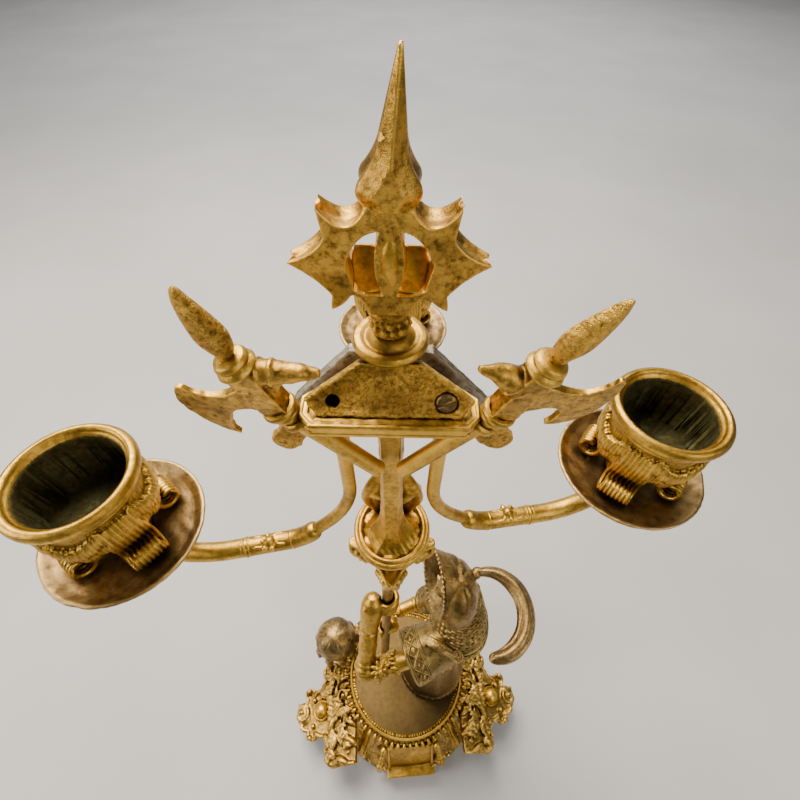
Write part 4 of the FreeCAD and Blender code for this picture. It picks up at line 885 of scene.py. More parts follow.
def make_shield():
    """The shield plate: silvered and laminated along its upper slopes, gilt on its two lower lobes."""
    top, thick = box_mm("shield_plate")[1][2], 2.2
    half = [(0, top, -0.06), (8, top - 2.5, 0.0), (20.3, top - 16.6, 0.0), (25.5, top - 24, -0.08),
            (29.4, top - 30.5, 0.12), (28.6, top - 34.4, 0.2), (24.2, top - 35.3, 0.1),
            (19.0, top - 29, -0.12), (0, top - 26.5, 0.0)]
    outline = arc_outline(mirrored(half), 8)
    outline[:, 1] -= np.where(outline[:, 0] < -22, 2.0, 0)
    y_mid = 2.6 + thick / 2

    def rough(points, normals):
        walls = np.abs(normals[:, 1]) < 0.6
        flakes = 0.22 * np.sin(points[:, 1] * 7.5 + 0.8 * np.sin(points[:, 0] * 0.9))
        dents = 0.14 * np.sin(points[:, 0] * 1.3 + np.sin(points[:, 2])) * np.sin(points[:, 2] * 1.1)
        return np.where(walls & (points[:, 2] > SILVER_FROM), flakes, dents)

    piece("shield_laminated", [slab(outline, thick, offset=(0, y_mid, 0))], GILT_ROUGH, ["shield_plate"],
          grain=0.32, ease=1, carve=rough, second=SILVERED,
          inside=lambda centres: centres[:, 2] > SILVER_FROM)


# ---------------------------------------------------------------- knight
FACING = unit(vec(-0.95, -0.25, 0.18))
HEAD = vec(27.5, 3, 179.5)
SKULL = HEAD + vec(1.5, -2.7, -3.5)
SKULL_RADII = vec(9.5, 14.5, 16)
BRIM_REACH, BRIM_LIFT = 4.6, 2.8
NEAR_SHOULDER, NEAR_CUFF = vec(31, -12, 149), vec(8.5, -21, 144)
NEAR_ELBOW, NEAR_HAND = vec(-12, -26, 139), vec(-9.5, -4, 171)
FAR_SHOULDER, FAR_ELBOW, FAR_HAND = vec(30, 4, 148), vec(18, 10, 126), vec(-1, 3, 122)
FIGURE = vec(26, -9, 0)
LANCE_FOOT, LANCE_HEAD = vec(-5, -6, 45), vec(-1, -1, 226)


def between_points(start, end, share):
    """The point at a share of the way from start to end."""
    return start + (end - start) * share


def turned_limb(start, end, profile, steps=48, hint=(0, 0, 1)):
    """A lathe shape whose axis runs from start to end; profile heights are shares of the way."""
    length = np.linalg.norm(end - start)
    shape = lathe([(radius, share * length) for radius, share in profile], steps)
    return moved(shape, start, turned_to(end - start, hint))


def brim_point(along, reach, angle):
    """A point of the brim: along the facing axis, reach up from its middle, at an angle round it."""
    up = vec(0, 0.774, 0.633)
    up = unit(up - FACING * (up @ FACING))
    across = np.cross(up, FACING)
    middle = HEAD + FACING * (BRIM_REACH + along) + up * BRIM_LIFT
    return middle + up * (reach * math.cos(angle)) + across * (0.74 * reach * math.sin(angle))


def helmet_bell(along, reach, grow):
    """The bell between a ring of the brim and the widest ring of the skull."""
    rings = []
    angles = circle(72)
    for share in np.linspace(0, 1, 9):
        ring = []
        for angle in angles:
            near = brim_point(along, reach, angle)
            way = near - brim_point(along, 0, angle)
            way = unit(way * vec(0, 1, 1))
            far = SKULL + way * grow / math.hypot(way[1] / SKULL_RADII[1], way[2] / SKULL_RADII[2])
            ring.append(near * (1 - share) + far * share - FACING * 1.2 * math.sin(math.pi * share))
        rings.append(np.array(ring))
    return capped(rings)


def make_helmet():
    """The helmet's shell."""
    up_turn = turned_to((0, 0, 1))
    hollow = ball(SKULL, SKULL_RADII - vec(1.5, 1.5, 1.4), up_turn, 24, 48)
    mouth = moved(lathe([(0, 0), (22, 0), (22, 24), (0, 24)], 48), HEAD + FACING * (BRIM_REACH + 4.0),
                  turned_to(FACING))
    neck = moved(lathe([(0, -30), (24, -30), (24, 0), (0, 0)], 48), (HEAD[0], HEAD[1], HEAD[2] - 9))
    skull = ball(SKULL, SKULL_RADII, up_turn, 30, 64)
    around = np.linspace(0, 2 * math.pi, 64)
    bands = []
    for height, thick in ((HEAD[2] - 8.2, 1.0), (HEAD[2] - 5.6, 0.5)):
        lift = math.sqrt(1 - ((height - SKULL[2]) / SKULL_RADII[2]) ** 2)
        ring = ellipse(around, SKULL_RADII[0] * lift, SKULL_RADII[1] * lift, height, SKULL[0], SKULL[1])
        bands.append(sweep(ring, thick, columns=12))
    socket = ball(HEAD + vec(9.6, 2.6, 4.6), (2.8, 2.6, 2.6))

    def flutes(points, normals):
        local, reach, angle = seen_from(points, SKULL)
        crown = np.clip((local[:, 2] - 1.5) / 6, 0, 1) * (reach > 3.2)
        rear = (points - HEAD) @ FACING < 2
        ridge = np.exp(-local[:, 1] ** 2) * np.clip(local[:, 2] / 6, 0, 1)
        return -0.5 * crown * rear * np.abs(np.sin(angle * 4.5)) ** 3 + 0.45 * ridge

    piece("helmet_skull", [skull, helmet_bell(4.2, 14.8, 0.97), socket, *bands], PATINA, ["helmet"],
          grain=0.35, ease=2, minus=[hollow, helmet_bell(5.6, 13.9, 0.85), mouth, neck], carve=flutes)


def make_brim():
    """The helmet's brim."""
    angles = circle(96)
    peak = 1 + 0.07 * np.exp(-(np.angle(np.exp(1j * angles)) / 0.3) ** 2)
    section = [(-9.0, 6.6), (-6.0, 9.3), (-3.2, 10.6), (-0.6, 11.2), (1.2, 12.1), (3.0, 13.6), (4.6, 15.4),
               (5.0, 15.9), (5.2, 15.3), (4.4, 14.3),
               (2.8, 12.6), (1.0, 11.0), (-0.6, 10.1), (-3.2, 9.4), (-6.0, 8.0), (-9.0, 5.4)]
    rings = [np.array([brim_point(along, reach * grow, angle) for angle, grow in zip(angles, peak)])
             for along, reach in section + section[:1]]
    shell = (np.vstack(rings), grid_faces(len(rings), 96))
    rope = [ball(brim_point(4.9, 15.5 * peak[i], angles[i]), (0.85, 0.62, 0.62),
                 turned_to(FACING, brim_point(5, 15, angles[i]) - brim_point(5, 0, 0)), 6, 8)
            for i in range(0, 96, 2)]
    inner = np.array([brim_point(0.2, 11.7, angle) for angle in np.linspace(0, 2 * math.pi, 70)])
    piece("helmet_flare", [shell, *rope, sweep(inner, 0.6, columns=10)], PATINA_BRIGHT, ["helmet_brim"],
          grain=0.32, ease=1)


def make_plume():
    """A falling plume of combed strands, thick in its middle."""
    middle = vec(42.0, -9.5, 0)
    turns = np.radians(np.linspace(108, -88, 90))
    share = np.linspace(0, 1, 90)
    route = np.column_stack([middle[0] + 15.2 * np.cos(turns), middle[1] + 16.2 * np.sin(turns),
                             184.8 - 7.4 * share ** 1.8])
    outward = np.column_stack([np.cos(turns), np.sin(turns), np.zeros(90)])
    wide = 1.6 + 2.2 * np.clip(share / 0.35, 0, 1) ** 0.8 - 1.5 * np.clip((share - 0.75) / 0.25, 0, 1) ** 2
    shapes = [sweep(route, wide * 0.93, wide * 0.68, side=(0, 0, 1), columns=16)]
    for strand in range(11):
        phase = 2 * math.pi * strand / 11 + share * 0.5 + 0.12 * np.sin(share * 17 + strand)
        path = route + outward * (np.cos(phase) * wide * 0.78)[:, None]
        path[:, 2] += np.sin(phase) * wide * 0.5
        shapes.append(sweep(path, wide * 0.24, columns=10))
    root = smooth_path([HEAD + vec(9.4, 2.4, 4.6), HEAD + vec(9.8, 4.0, 5.2), route[4]], 10)
    shapes.append(sweep(root, 1.9))
    shapes.append(ball(route[-1], (2.2, 2.2, 1.7)))
    piece("plume_feather", shapes, PLUME, ["helmet_plume"], grain=0.3, ease=2)


def make_head():
    """A calm, general face: brow, closed eyes, straight nose, even lips and a round chin."""
    turn = turned_to((0, 0, 1), FACING)
    centre = HEAD + FACING * 1.5
    side = turn[:, 1]

    def at(forward, across, up):
        return centre + FACING * forward + side * across + vec(0, 0, up)

    shapes = [ball(centre, (6.4, 5.9, 8.2), turn, 20, 32), ball(at(4.2, 0, -6.6), (2.4, 2.4, 1.9), turn),
              ball(at(5.9, 0, 0.2), (1.2, 0.75, 2.5), turn), ball(at(6.5, 0, -1.5), (1.1, 1.1, 0.8), turn),
              ball(at(5.5, 0, -4.0), (0.8, 1.8, 0.45), turn), ball(at(5.4, 0, -4.9), (0.9, 1.5, 0.5), turn)]
    for way in (-1, 1):
        shapes += [ball(at(5.0, way * 2.3, 1.9), (0.9, 1.25, 0.8), turn),
                   ball(at(4.9, way * 2.5, 3.4), (1.0, 1.9, 0.5), turn),
                   ball(at(3.9, way * 3.2, -1.8), (1.4, 1.5, 1.6), turn),
                   ball(at(-0.2, way * 5.8, 0.4), (1.2, 0.7, 1.9), turn)]
    neck = lathe([(0, -20), (5.2, -20), (4.6, -14), (4.5, -6), (0, -6)], 32)
    piece("knight_face", [*shapes, moved(neck, HEAD)], GILT_DULL, ["knight_head"], grain=0.3, ease=1)


def cape_ring(share, swell=0.0):
    """Centre, half sizes and height of the cape at a share of its way down from the neck."""
    stations = np.array([(31.5, 1, 9.0, 9.6, 172.5), (32.2, -2.4, 10.4, 11.6, 166),
                         (32.6, -4.8, 12.0, 14.0, 159), (32.6, -6, 13.2, 16.2, 151.0)])
    x, y, a, b, z = [np.interp(share, np.linspace(0, 1, 4), stations[:, i]) for i in range(5)]
    return x, y, a + swell, b + swell, z


def make_cape():
    """The mail collar: overlapping rows of scales over the shoulders and a patterned hem."""
    angles = circle(160)
    core = []
    for share in np.linspace(-0.02, 1, 12):
        x, y, a, b, z = cape_ring(max(share, 0), -0.15)
        core.append(ellipse(angles, a, b, z, x, y))
    shapes = [capped(core)]
    for row in range(12):
        share = 0.06 + row * 0.066
        x, y, a, b, z = cape_ring(share, 0.0)
        wave = 0.55 * np.cos(angles * 15 + (row % 2) * math.pi)
        shapes.append(sweep(ellipse(angles, a, b, z + wave, x, y), 0.5, columns=8))
    for share, thick in ((0.84, 0.55), (1.0, 0.65)):
        x, y, a, b, z = cape_ring(share, 0.5)
        shapes.append(sweep(ellipse(angles, a, b, z + 0.4, x, y), thick, columns=8))
    for number in range(26):
        angle = 2 * math.pi * number / 26
        x, y, a, b, z = cape_ring(0.92, 0.45)
        middle = vec(x + a * math.cos(angle), y + b * math.sin(angle), z)
        across = unit(vec(-a * math.sin(angle), b * math.cos(angle), 0))
        for way in (-1, 1):
            tips = [middle - across * 1.3 + vec(0, 0, way * -1.0),
                    middle + across * 1.3 + vec(0, 0, way * 1.0)]
            shapes.append(sweep([tips[0], middle, tips[1]], 0.34, columns=6))
        shapes.append(ball(middle, 0.62, rings=6, columns=8))
    tab = smooth_path([(16.5, -15.4, 158.2), (20.5, -17.6, 159.2), (25.5, -19.8, 158.4), (30, -21.6, 155.4)],
                      40)
    shapes.append(sweep(tab, 2.5, 0.7, side=(-0.5, -0.6, 0.2), columns=18))
    for number in range(2, 38, 3):
        for way in (-1, 1):
            start, end = (tab[number + step] + vec(0, 0, 0.8) for step in (-2, 1))
            across = vec(-0.4, -0.9, 0) * way
            shapes.append(sweep([start - across * 1.4, (start + end) / 2, end + across * 1.4], 0.3,
                                columns=6))
    for way in (-1, 1):
        shapes.append(sweep(tab + vec(-0.5, -0.85, 0.12) * 2.3 * way, 0.45, columns=8))
    clasp = tab[-1] + vec(0, -0.4, 0.9)
    turn = turned_to((0.1, -0.5, 0.85))
    shapes.append(moved(lathe([(0, -1), (2.6, -1), (2.9, 0.2), (2.5, 0.8), (1.9, 0.3), (1.3, 0.5), (0.8, 1.2),
                               (0, 1.4)], 28), clasp, turn))
    piece("mail_scales", shapes, GILT_SOFT, ["mail_cape"], grain=0.32, ease=1)


def make_near_sleeve():
    """The wide bell sleeve with its embroidered band, hollow at the cuff."""
    axis = NEAR_CUFF - NEAR_SHOULDER
    length = np.linalg.norm(axis)
    turn = turned_to(axis, (0, 0, 1))
    profile = [(0, -9.4), (4.5, -8.8), (8.2, -6.4), (10.2, -2.6), (10.8, 1.4), (10.9, length * 0.35),
               (11.4, length * 0.6), (12.1, length * 0.85), (12.6, length), (11.6, length + 0.3),
               (10.9, length - 0.6), (9.6, length - 7), (7.8, length - 13), (0, length - 13)]

    def folds(angles):
        return 1 + 0.012 * np.sin(angles * 5 + 0.6) + 0.008 * np.sin(angles * 9)

    def embroidery(points, normals):
        local, reach, angle = seen_from(points, NEAR_SHOULDER, turn)
        back = length - local[:, 2]
        outside = reach > 10.4
        arc = (angle + math.pi) * 12.2
        cell = np.mod(arc, 6.38) / 3.19 - 1
        level = (back - 4.4) / 2.6
        inside_band = np.abs(level) < 1
        cross = np.exp(-((np.abs(cell) - np.abs(level)) / 0.17) ** 2)
        bead = np.exp(-(cell ** 2 + level ** 2) / 0.07)
        knots = np.exp(-((np.abs(cell) - 1) ** 2 + level ** 2) / 0.05)
        raised = 0.6 * np.maximum(np.maximum(cross, bead), knots) * inside_band
        for border in (0.7, 1.5, 7.3, 8.1):
            raised = raised + 0.55 * np.exp(-((back - border) / 0.28) ** 2)
        cloth = 0.35 * np.sin(angle * 3 + back * 0.16) * np.clip((back - 9) / 5, 0, 1)
        return (raised + cloth) * outside

    shape = moved(lathe(profile, 120, folds), NEAR_SHOULDER, turn)
    piece("bell_sleeve", [shape], GILT_SOFT, ["near_sleeve"], grain=0.28, ease=1, carve=embroidery)


def make_far_sleeve():
    """The far arm's sleeve."""
    length = np.linalg.norm(FAR_ELBOW - FAR_SHOULDER)
    profile = [(0, -0.28), (5, -0.24), (7.2, -0.06), (7.4, 0.3), (6.9, 0.7), (6.8, 0.86), (7.4, 0.9),
               (7.4, 0.96), (6.6, 1.0), (0, 1.0)]
    sleeve = turned_limb(FAR_SHOULDER, FAR_ELBOW, profile)

    def cloth(points, normals):
        local, _, angle = seen_from(points, FAR_SHOULDER, turned_to(FAR_ELBOW - FAR_SHOULDER, (0, 0, 1)))
        return 0.3 * np.sin(local[:, 2] * 1.1 + angle * 2) * (local[:, 2] < length * 0.8)

    piece("far_arm_sleeve", [sleeve], GILT_SOFT, ["far_sleeve"], grain=0.4, ease=2, carve=cloth)


def ringed(radius, share, thick, step):
    """Profile points of one moulded ring round a limb."""
    return [(radius, share - step), (radius + thick * 0.8, share - step * 0.5), (radius + thick, share),
            (radius + thick * 0.8, share + step * 0.5), (radius, share + step)]


def make_near_arm():
    """The near arm below its sleeve."""
    wrist = between_points(NEAR_ELBOW, NEAR_HAND, 0.66)
    elbow = [(0, -0.05), (3.6, -0.05), (5.0, -0.01), (5.2, 0.03), *ringed(4.9, 0.09, 0.8, 0.035),
             *ringed(4.5, 0.17, 0.5, 0.025)]
    fore = [(4.2, 0.24), (4.3, 0.4), (4.2, 0.55), *ringed(4.0, 0.62, 0.55, 0.025),
            *ringed(4.0, 0.68, 0.5, 0.025), (4.2, 0.74), (0, 0.76)]
    arm = turned_limb(NEAR_ELBOW, NEAR_HAND, elbow + fore)
    piece("forearm_plate", [arm], GILT, ["near_forearm"], grain=0.3, ease=1)

    palm = NEAR_HAND + vec(2.4, 0.5, 0)
    shapes = [turned_limb(wrist, palm + vec(-1.4, -0.6, 4.4),
                          [(0, 0), (4.2, 0), (4.5, 0.25), (5.2, 0.6), (5.2, 0.85),
                                                               (4.4, 1.05), (2.6, 1.2), (0, 1.26)])]
    rod = unit(LANCE_HEAD - LANCE_FOOT)
    for finger in range(4):
        height = palm[2] - 4.4 + 2.9 * finger
        knuckle = vec(palm[0] - 1.4, palm[1] - 1.0, height)
        hold = LANCE_FOOT + rod * ((height - LANCE_FOOT[2]) / rod[2])
        path = [hold + polar(4.1, turn, 0) for turn in np.linspace(235, 420, 14)]
        shapes.append(sweep(path, 1.45, columns=12))
        shapes.append(ball(knuckle + vec(-2.6, -2.4, 0), (2.3, 2.3, 1.5)))
    lance = LANCE_FOOT + rod * 60
    way = turned_limb(lance, LANCE_HEAD, [(0, 0), (LANCE_CLEARANCE, 0), (LANCE_CLEARANCE, 1), (0, 1)])
    piece("near_hand", shapes, GILT, ["near_gauntlet"], grain=0.3, ease=2, minus=[way])

    guard = turned_limb(NEAR_CUFF + vec(1.5, 0, 0), NEAR_ELBOW,
                        [(0, 0), (4.2, 0), (4.4, 0.3), *ringed(4.8, 0.45, 0.6, 0.05),
                         *ringed(5.0, 0.62, 0.5, 0.04), (5.2, 0.8), (5.3, 1.0), (4.6, 1.1), (3, 1.16),
                         (0, 1.18)])
    rose = vec(-4.6, -26.6, 147.2)
    turn = turned_to((0.1, -0.62, 0.78))
    petals = []
    for count, radius, size in ((9, 3.1, 1.25), (6, 1.5, 0.9)):
        for number in range(count):
            angle = 360 / count * number + count * 4
            out = turn @ polar(radius, angle, 0.4 + (9 - count) * 0.3)
            petals.append(ball(rose + out, (size * 1.5, size * 0.72, size * 0.6),
                               turn @ spun(angle)))
    petals.append(ball(rose + turn @ vec(0, 0, 1.5), 1.05))
    tail = rose + vec(-0.8, -4.6, -3.6)
    petals += [ball(tail, 1.0), ball(between_points(rose, tail, 0.75), (0.7, 0.7, 0.9))]
    ruffle = [ball(NEAR_CUFF + (NEAR_ELBOW - NEAR_CUFF) * 0.34 + turned_to(NEAR_ELBOW - NEAR_CUFF)
                   @ polar(4.9, turn_at),
                   (0.8, 0.8, 1.9), turned_to(NEAR_ELBOW - NEAR_CUFF)) for turn_at in range(0, 360, 24)]
    piece("elbow_rosette", [guard, *petals, *ruffle], GILT, ["elbow_guard"], grain=0.28, ease=1)


def make_far_arm():
    """The far arm below its sleeve."""
    fore = turned_limb(FAR_ELBOW, FAR_HAND,
                       [(0, -0.1), (3.2, -0.08), (3.9, 0.1), *ringed(3.6, 0.3, 0.4, 0.05), (3.4, 0.6),
                        *ringed(3.3, 0.74, 0.6, 0.05), (3, 0.84), (0, 0.84)])
    piece("far_forearm_plate", [fore], GILT, ["far_forearm"], grain=0.3, ease=1)
    rod = unit(LANCE_HEAD - LANCE_FOOT)
    hold = LANCE_FOOT + rod * ((FAR_HAND[2] - LANCE_FOOT[2]) / rod[2])
    shapes = [ball(hold + vec(2.2, 1.8, 0), (5.0, 4.4, 4.8))]
    for finger in range(4):
        ring = [hold + vec(0, 0, -4.0 + 2.7 * finger) + polar(4.0, turn) for turn in np.linspace(20, 240, 14)]
        shapes.append(sweep(ring, 1.35, columns=12))
    way = turned_limb(LANCE_FOOT, LANCE_HEAD, [(0, 0), (LANCE_CLEARANCE, 0), (LANCE_CLEARANCE, 1), (0, 1)])
    piece("far_hand", shapes, GILT, ["far_gauntlet"], grain=0.3, ease=2, minus=[way])


def make_body():
    """The torso in its close tunic, the belt and the skirt with folds and a scalloped hem."""
    stations = [(26, -9, 11, 11, 106.4), (28, -8.6, 10.6, 11.6, 118), (30.5, -8, 10.6, 13, 132),
                (32.5, -7, 10.6, 14, 144), (32.5, -5.8, 9, 11, 152)]
    line = smooth_path(stations, 30)
    angles = circle(72)
    rings = [ellipse(angles, a, b, z, x, y) for x, y, a, b, z in line]

    def tunic(points, normals):
        angle = np.arctan2(points[:, 1] + 8, points[:, 0] - 29)
        return 0.35 * np.sin(angle * 12) * np.exp(-((points[:, 2] - 112) / 9) ** 2) - 0.1

    piece("tunic", [capped(rings)], GILT_DULL, ["knight_torso"], grain=0.5, ease=2, carve=tunic)

    belt = [moved(lathe([(10.4, -2.4), (11.6, -2.4), (12.2, -1.9), (11.9, -1.2), (12.3, 0), (11.9, 1.2),
                         (12.2, 1.9), (11.6, 2.4), (10.4, 2.4)], 80), FIGURE + vec(0, 0, 104))]
    belt += [ball(FIGURE + polar(12.3, 20 * number, 104), (0.9, 0.9, 1.0)) for number in range(18)]
    piece("belt_studs", belt, GILT, ["knight_belt"], grain=0.35, ease=1)

    low = 45.2
    steps, shells = 288, []
    around = circle(steps)
    for height, radius, depth, scallop in ((0.0, 19.6, 0.2, 0.0), (2.2, 19.8, 0.2, 0.0),
                                           (3.0, 20.4, 0.1, 0.6), (4.2, 20.0, 0.1, 0.4), (4.8, 19.4, 0.35, 0),
                                           (12, 18.6, 0.5, 0),
                                           (24, 16.4, 0.5, 0), (38, 13.8, 0.4, 0), (50, 11.6, 0.2, 0),
                                           (56.2, 11.0, 0.1, 0)):
        swell = radius + depth * np.cos(around * 9 + 0.5
                                        * math.sin(height / 9)) + scallop * np.abs(np.cos(around * 18))
        shells.append(ellipse(around, swell, swell, low + height, FIGURE[0], FIGURE[1]))
    hem = [ball(FIGURE + polar(20.2, 7.5 * number, low + 1.2), (1.15, 1.15, 1.1), rings=6, columns=10)
           for number in range(48)]
    piece("skirt_folds", [capped(shells), *hem], CLOTH_DARK, ["knight_skirt"], grain=0.5, ease=1)


def make_lance():
    """The lance and its turned rings."""
    rod = LANCE_HEAD - LANCE_FOOT
    length = np.linalg.norm(rod)
    profile = [(1.35, 0.2), (2.45, 0.2), (2.45, 4), (2.9, 5), (2.9, 6.2), (2.45, 7), (2.4, length * 0.4)]
    for at in (0.42, 0.62, 0.8, 0.9):
        profile += [(2.4, length * at - 2), (2.5, length * at - 1), (2.5, length * at + 1),
                    (2.4, length * at + 2)]
    profile += [(2.4, length - 1), (1.35, length - 1)]
    shape = moved(lathe(profile, 40), LANCE_FOOT, turned_to(rod))
    piece("lance_shaft", [shape], GILT_DULL, ["lance"], bevel=0.15)


# ---------------------------------------------------------------- base
BASE = vec(9, -14, 0)
BASE_TURN = math.radians(5)
BEAD_RADIUS = 38.9


def on_base(point):
    """A point of the turned base, in the frame."""
    x, y, z = point
    return BASE + vec(x * math.cos(BASE_TURN) - y * math.sin(BASE_TURN),
                      x * math.sin(BASE_TURN) + y * math.cos(BASE_TURN), z)


def base_shape(shape):
    """A shape of the turned base, in the frame."""
    points, faces = shape
    turn = np.array([[math.cos(BASE_TURN), -math.sin(BASE_TURN), 0],
                     [math.sin(BASE_TURN), math.cos(BASE_TURN), 0],
                     [0, 0, 1]])
    return points @ turn.T + BASE, faces


def make_platform():
    """The notched and rolled rim and the beads outside it."""
    steps = 560
    angles = circle(steps)
    notch = 0.5 + 0.5 * np.sign(np.sin(angles * 140))
    section = [(33.45, 42.2, 0), (36.0, 42.2, 0), (36.5, 43.0, 0), (36.6, 44.4, 0), (36.3, 45.3, 0),
               (35.7, 45.9, 0), (35.2, 45.6, 0), (35.0, 45.0, 0), (34.8, 45.5, -0.7), (33.8, 45.5, -0.7),
               (33.45, 45.25, 0)]
    rings = [ellipse(angles, r, r, z + cut * notch) for r, z, cut in section]
    rim = (np.vstack(rings + rings[:1]), grid_faces(len(rings) + 1, steps))
    piece("rim_roll", [base_shape(rim)], GILT, ["platform_rim"])

    ring = lathe([(31.2, 38.1), (38.0, 38.1), (38.6, 39.2), (37.8, 40.4), (37.2, 41.2), (36.6, 41.9),
                  (31.2, 41.9)],
                 160)
    beads = []
    for number in range(64):
        turn = 360 / 64 * number
        beads.append(ball(polar(BEAD_RADIUS, turn, 41.2), (2.1, 1.25, 1.5),
                          spun(turn), 8, 12))
    piece("bead_garland", [base_shape(shape) for shape in (ring, *beads)], GILT, ["bead_ring"], grain=0.4,
          ease=1)


WING_ROOT = 34
WING_TOP = 30
WING_FALL = math.radians(16)
WING_LIFT = 3.0
WING_OUTLINE = [(34, -45, 0.0), (50, -46.5, 0.25), (54.2, -42, 0.2), (54, -38.5, -0.1), (52, -34.6, -0.2),
                (55, -29.8, -0.15), (61, -28.2, -0.2), (64.2, -32.2, 0.4), (66.8, -30.4, -0.1),
                (66, -26, -0.15), (71.5, -24.6, 0.2), (76.5, -18.2, 0.25), (74.2, -12, 0.2),
                (67.2, -9.4, -0.2),
                (68.6, -4.4, 0.5), (65.6, -3, -0.2), (62.6, -7, -0.15), (57.4, -4.6, -0.15), (54.4, 1, -0.1),
                (55.4, 9, 0.45),
                (50.6, 10.6, -0.2), (46, 7.6, -0.1), (40, 13, 0.0), (34, 14, 0.0)]


def on_wing(side, point):
    """A wing point: out from the plinth's axis, along the wing, above its middle plane."""
    out, along, rise = point
    out -= WING_ROOT
    x = WING_ROOT + out * math.cos(WING_FALL) + rise * math.sin(WING_FALL)
    z = WING_TOP - out * math.sin(WING_FALL) + rise * math.cos(WING_FALL)
    return on_base((SIDES[side] * x, along, z))


def wing_shape(side, shape):
    """A shape laid on a scroll wing."""
    points, faces = shape
    return np.array([on_wing(side, point) for point in points]), faces


def spiral(middle, radius, start, turns, count=26, rise=3.0):
    """Points of a volute that closes on its middle."""
    shares = np.linspace(0, 1, count)
    angles = math.radians(start) + shares * turns * 2 * math.pi
    reach = radius * (1 - 0.82 * shares)
    return np.column_stack([middle[0] + reach * np.cos(angles), middle[1] + reach * np.sin(angles),
                            rise + 0.9 * shares])


def volute(middle, radius, start, turns, thick):
    """A coiled bar with a ball at its eye."""
    path = spiral(middle, radius, start, turns)
    widths = thick * (1 - 0.35 * np.linspace(0, 1, len(path)))
    return [sweep(path, widths, side=(0, 0, 1), columns=12), ball((*middle, 4.2), thick * 1.25)]


def leaf(start, end, width, rise=3.0, curl=1.2, lobes=5):
    """A leaf that lies on the wing: a spine and paired lobes that shrink towards its tip."""
    start, end = vec(*start), vec(*end)
    way = unit(end - start)
    across = vec(-way[1], way[0])
    shapes = []
    spine = []
    for step in range(9):
        t = step / 8
        point = start + (end - start) * t
        spine.append((point[0], point[1], rise + curl * math.sin(t * math.pi), 0.75 * (1 - 0.6 * t)))
    spine = np.array(spine)
    shapes.append(sweep(spine[:, :3], spine[:, 3], columns=8))
    for step in range(lobes):
        t = (step + 0.6) / lobes
        reach = width * math.sin(math.pi * (0.25 + 0.7 * t))
        for sign in (-1, 1):
            root = start + (end - start) * t
            tip = root + across * sign * reach + way * reach * 0.9
            middle = (root + tip) / 2
            turn = turned_to((0, 0, 1), (*(tip - root), 0))
            shapes.append(ball((middle[0], middle[1], rise + 0.4 + curl * 0.5 * math.sin(t * math.pi)),
                               (np.linalg.norm(tip - root) * 0.62, width * 0.3, 0.9), turn, 8, 12))
    return shapes


def make_wing(side):
    """One scroll wing: a lobed plate with a rolled edge, volutes, leaves and a foot."""
    outline = arc_outline(WING_OUTLINE, 7)
    half = WING_LIFT - 0.9
    shapes = [prism(outline, -half, half - 0.4)]
    edge = outline[:-8]
    path = np.column_stack([edge * 0.975 + edge.mean(0) * 0.025, np.full(len(edge), half - 0.2)])
    swell = 1.15 + 0.3 * np.sin(np.arange(len(path)) * 0.42)
    shapes.append(sweep(path[::2], swell[::2], columns=10))
    shapes += volute((44, 4.5), 4.6, 60, -1.3, 1.3) + volute((49.5, -40.5), 4.6, 190, 1.3, 1.35)
    shapes += volute((41, -31), 4.6, 90, -1.2, 1.3) + volute((41.5, -9), 4.4, -60, 1.2, 1.2)
    shapes += leaf((49, -25), (49, -10), 4.0) + leaf((48, -27), (50.5, -37), 3.4)
    shapes += leaf((49, -4), (52.8, 8), 2.4, rise=3.2) + leaf((44, -22), (38, -40), 3.4)
    shapes += leaf((58, -9), (50, -4), 3.0) + leaf((36, -16), (46, -19), 2.8, rise=3.4)
    shapes.append(ball((70.4, -17, 1.4), (5.2, 6.6, 2.3)))
    shapes.append(sweep(spiral((71, -17), 4.6, 140, 1.0, rise=3.1), 0.8, columns=10))
    rng = np.random.default_rng(7)
    for _ in range(26):
        out, along = rng.uniform(36, 53), rng.uniform(-43, 7)
        size, lean = rng.uniform(1.8, 2.8), rng.uniform(0, 180)
        shapes.append(ball((out, along, 2.4), (size * 1.8, size * 0.75, size * 0.9),
                           spun(lean), 10, 16))
    for out, along, size in ((65, -30, 1.3), (66.6, -4.6, 1.6), (52.8, 8.4, 2.0), (51, -42.6, 2.2),
                             (36.6, 8, 1.6), (52.5, -31, 1.5), (57.5, -6.6, 1.3), (37, -22, 1.6),
                             (63, -24, 1.3),
                             (62.4, -10, 1.4)):
        shapes.append(ball((out, along, 2.8), size))
    turned = [wing_shape(side, shape) for shape in shapes]
    foot = lathe([(0, 0), (4.6, 0), (4.9, 1.2), (4.2, 2.4), (3.4, 4), (3.0, 14), (3.6, 17.5), (0, 18)], 32)
    turned.append(moved(foot, on_base((SIDES[side] * 63, -16, 0))))
    piece(f"wing_{side}", turned, GILT_DEEP, [f"side_scroll_{side}"], grain=0.5, ease=1)

    rim = lathe([(0, 1.0), (5.6, 1.0), (6.0, 2.4), (5.4, 3.2), (4.7, 3.0), (4.4, 3.3), (4.2, 4.6), (3.2, 6.0),
                 (1.6, 6.9), (0, 7.1)], 40)
    tilt = turned_to(vec(SIDES[side] * math.sin(WING_FALL), 0, math.cos(WING_FALL)))
    return moved(rim, on_wing(side, (57, -16, 0.4)), tilt)


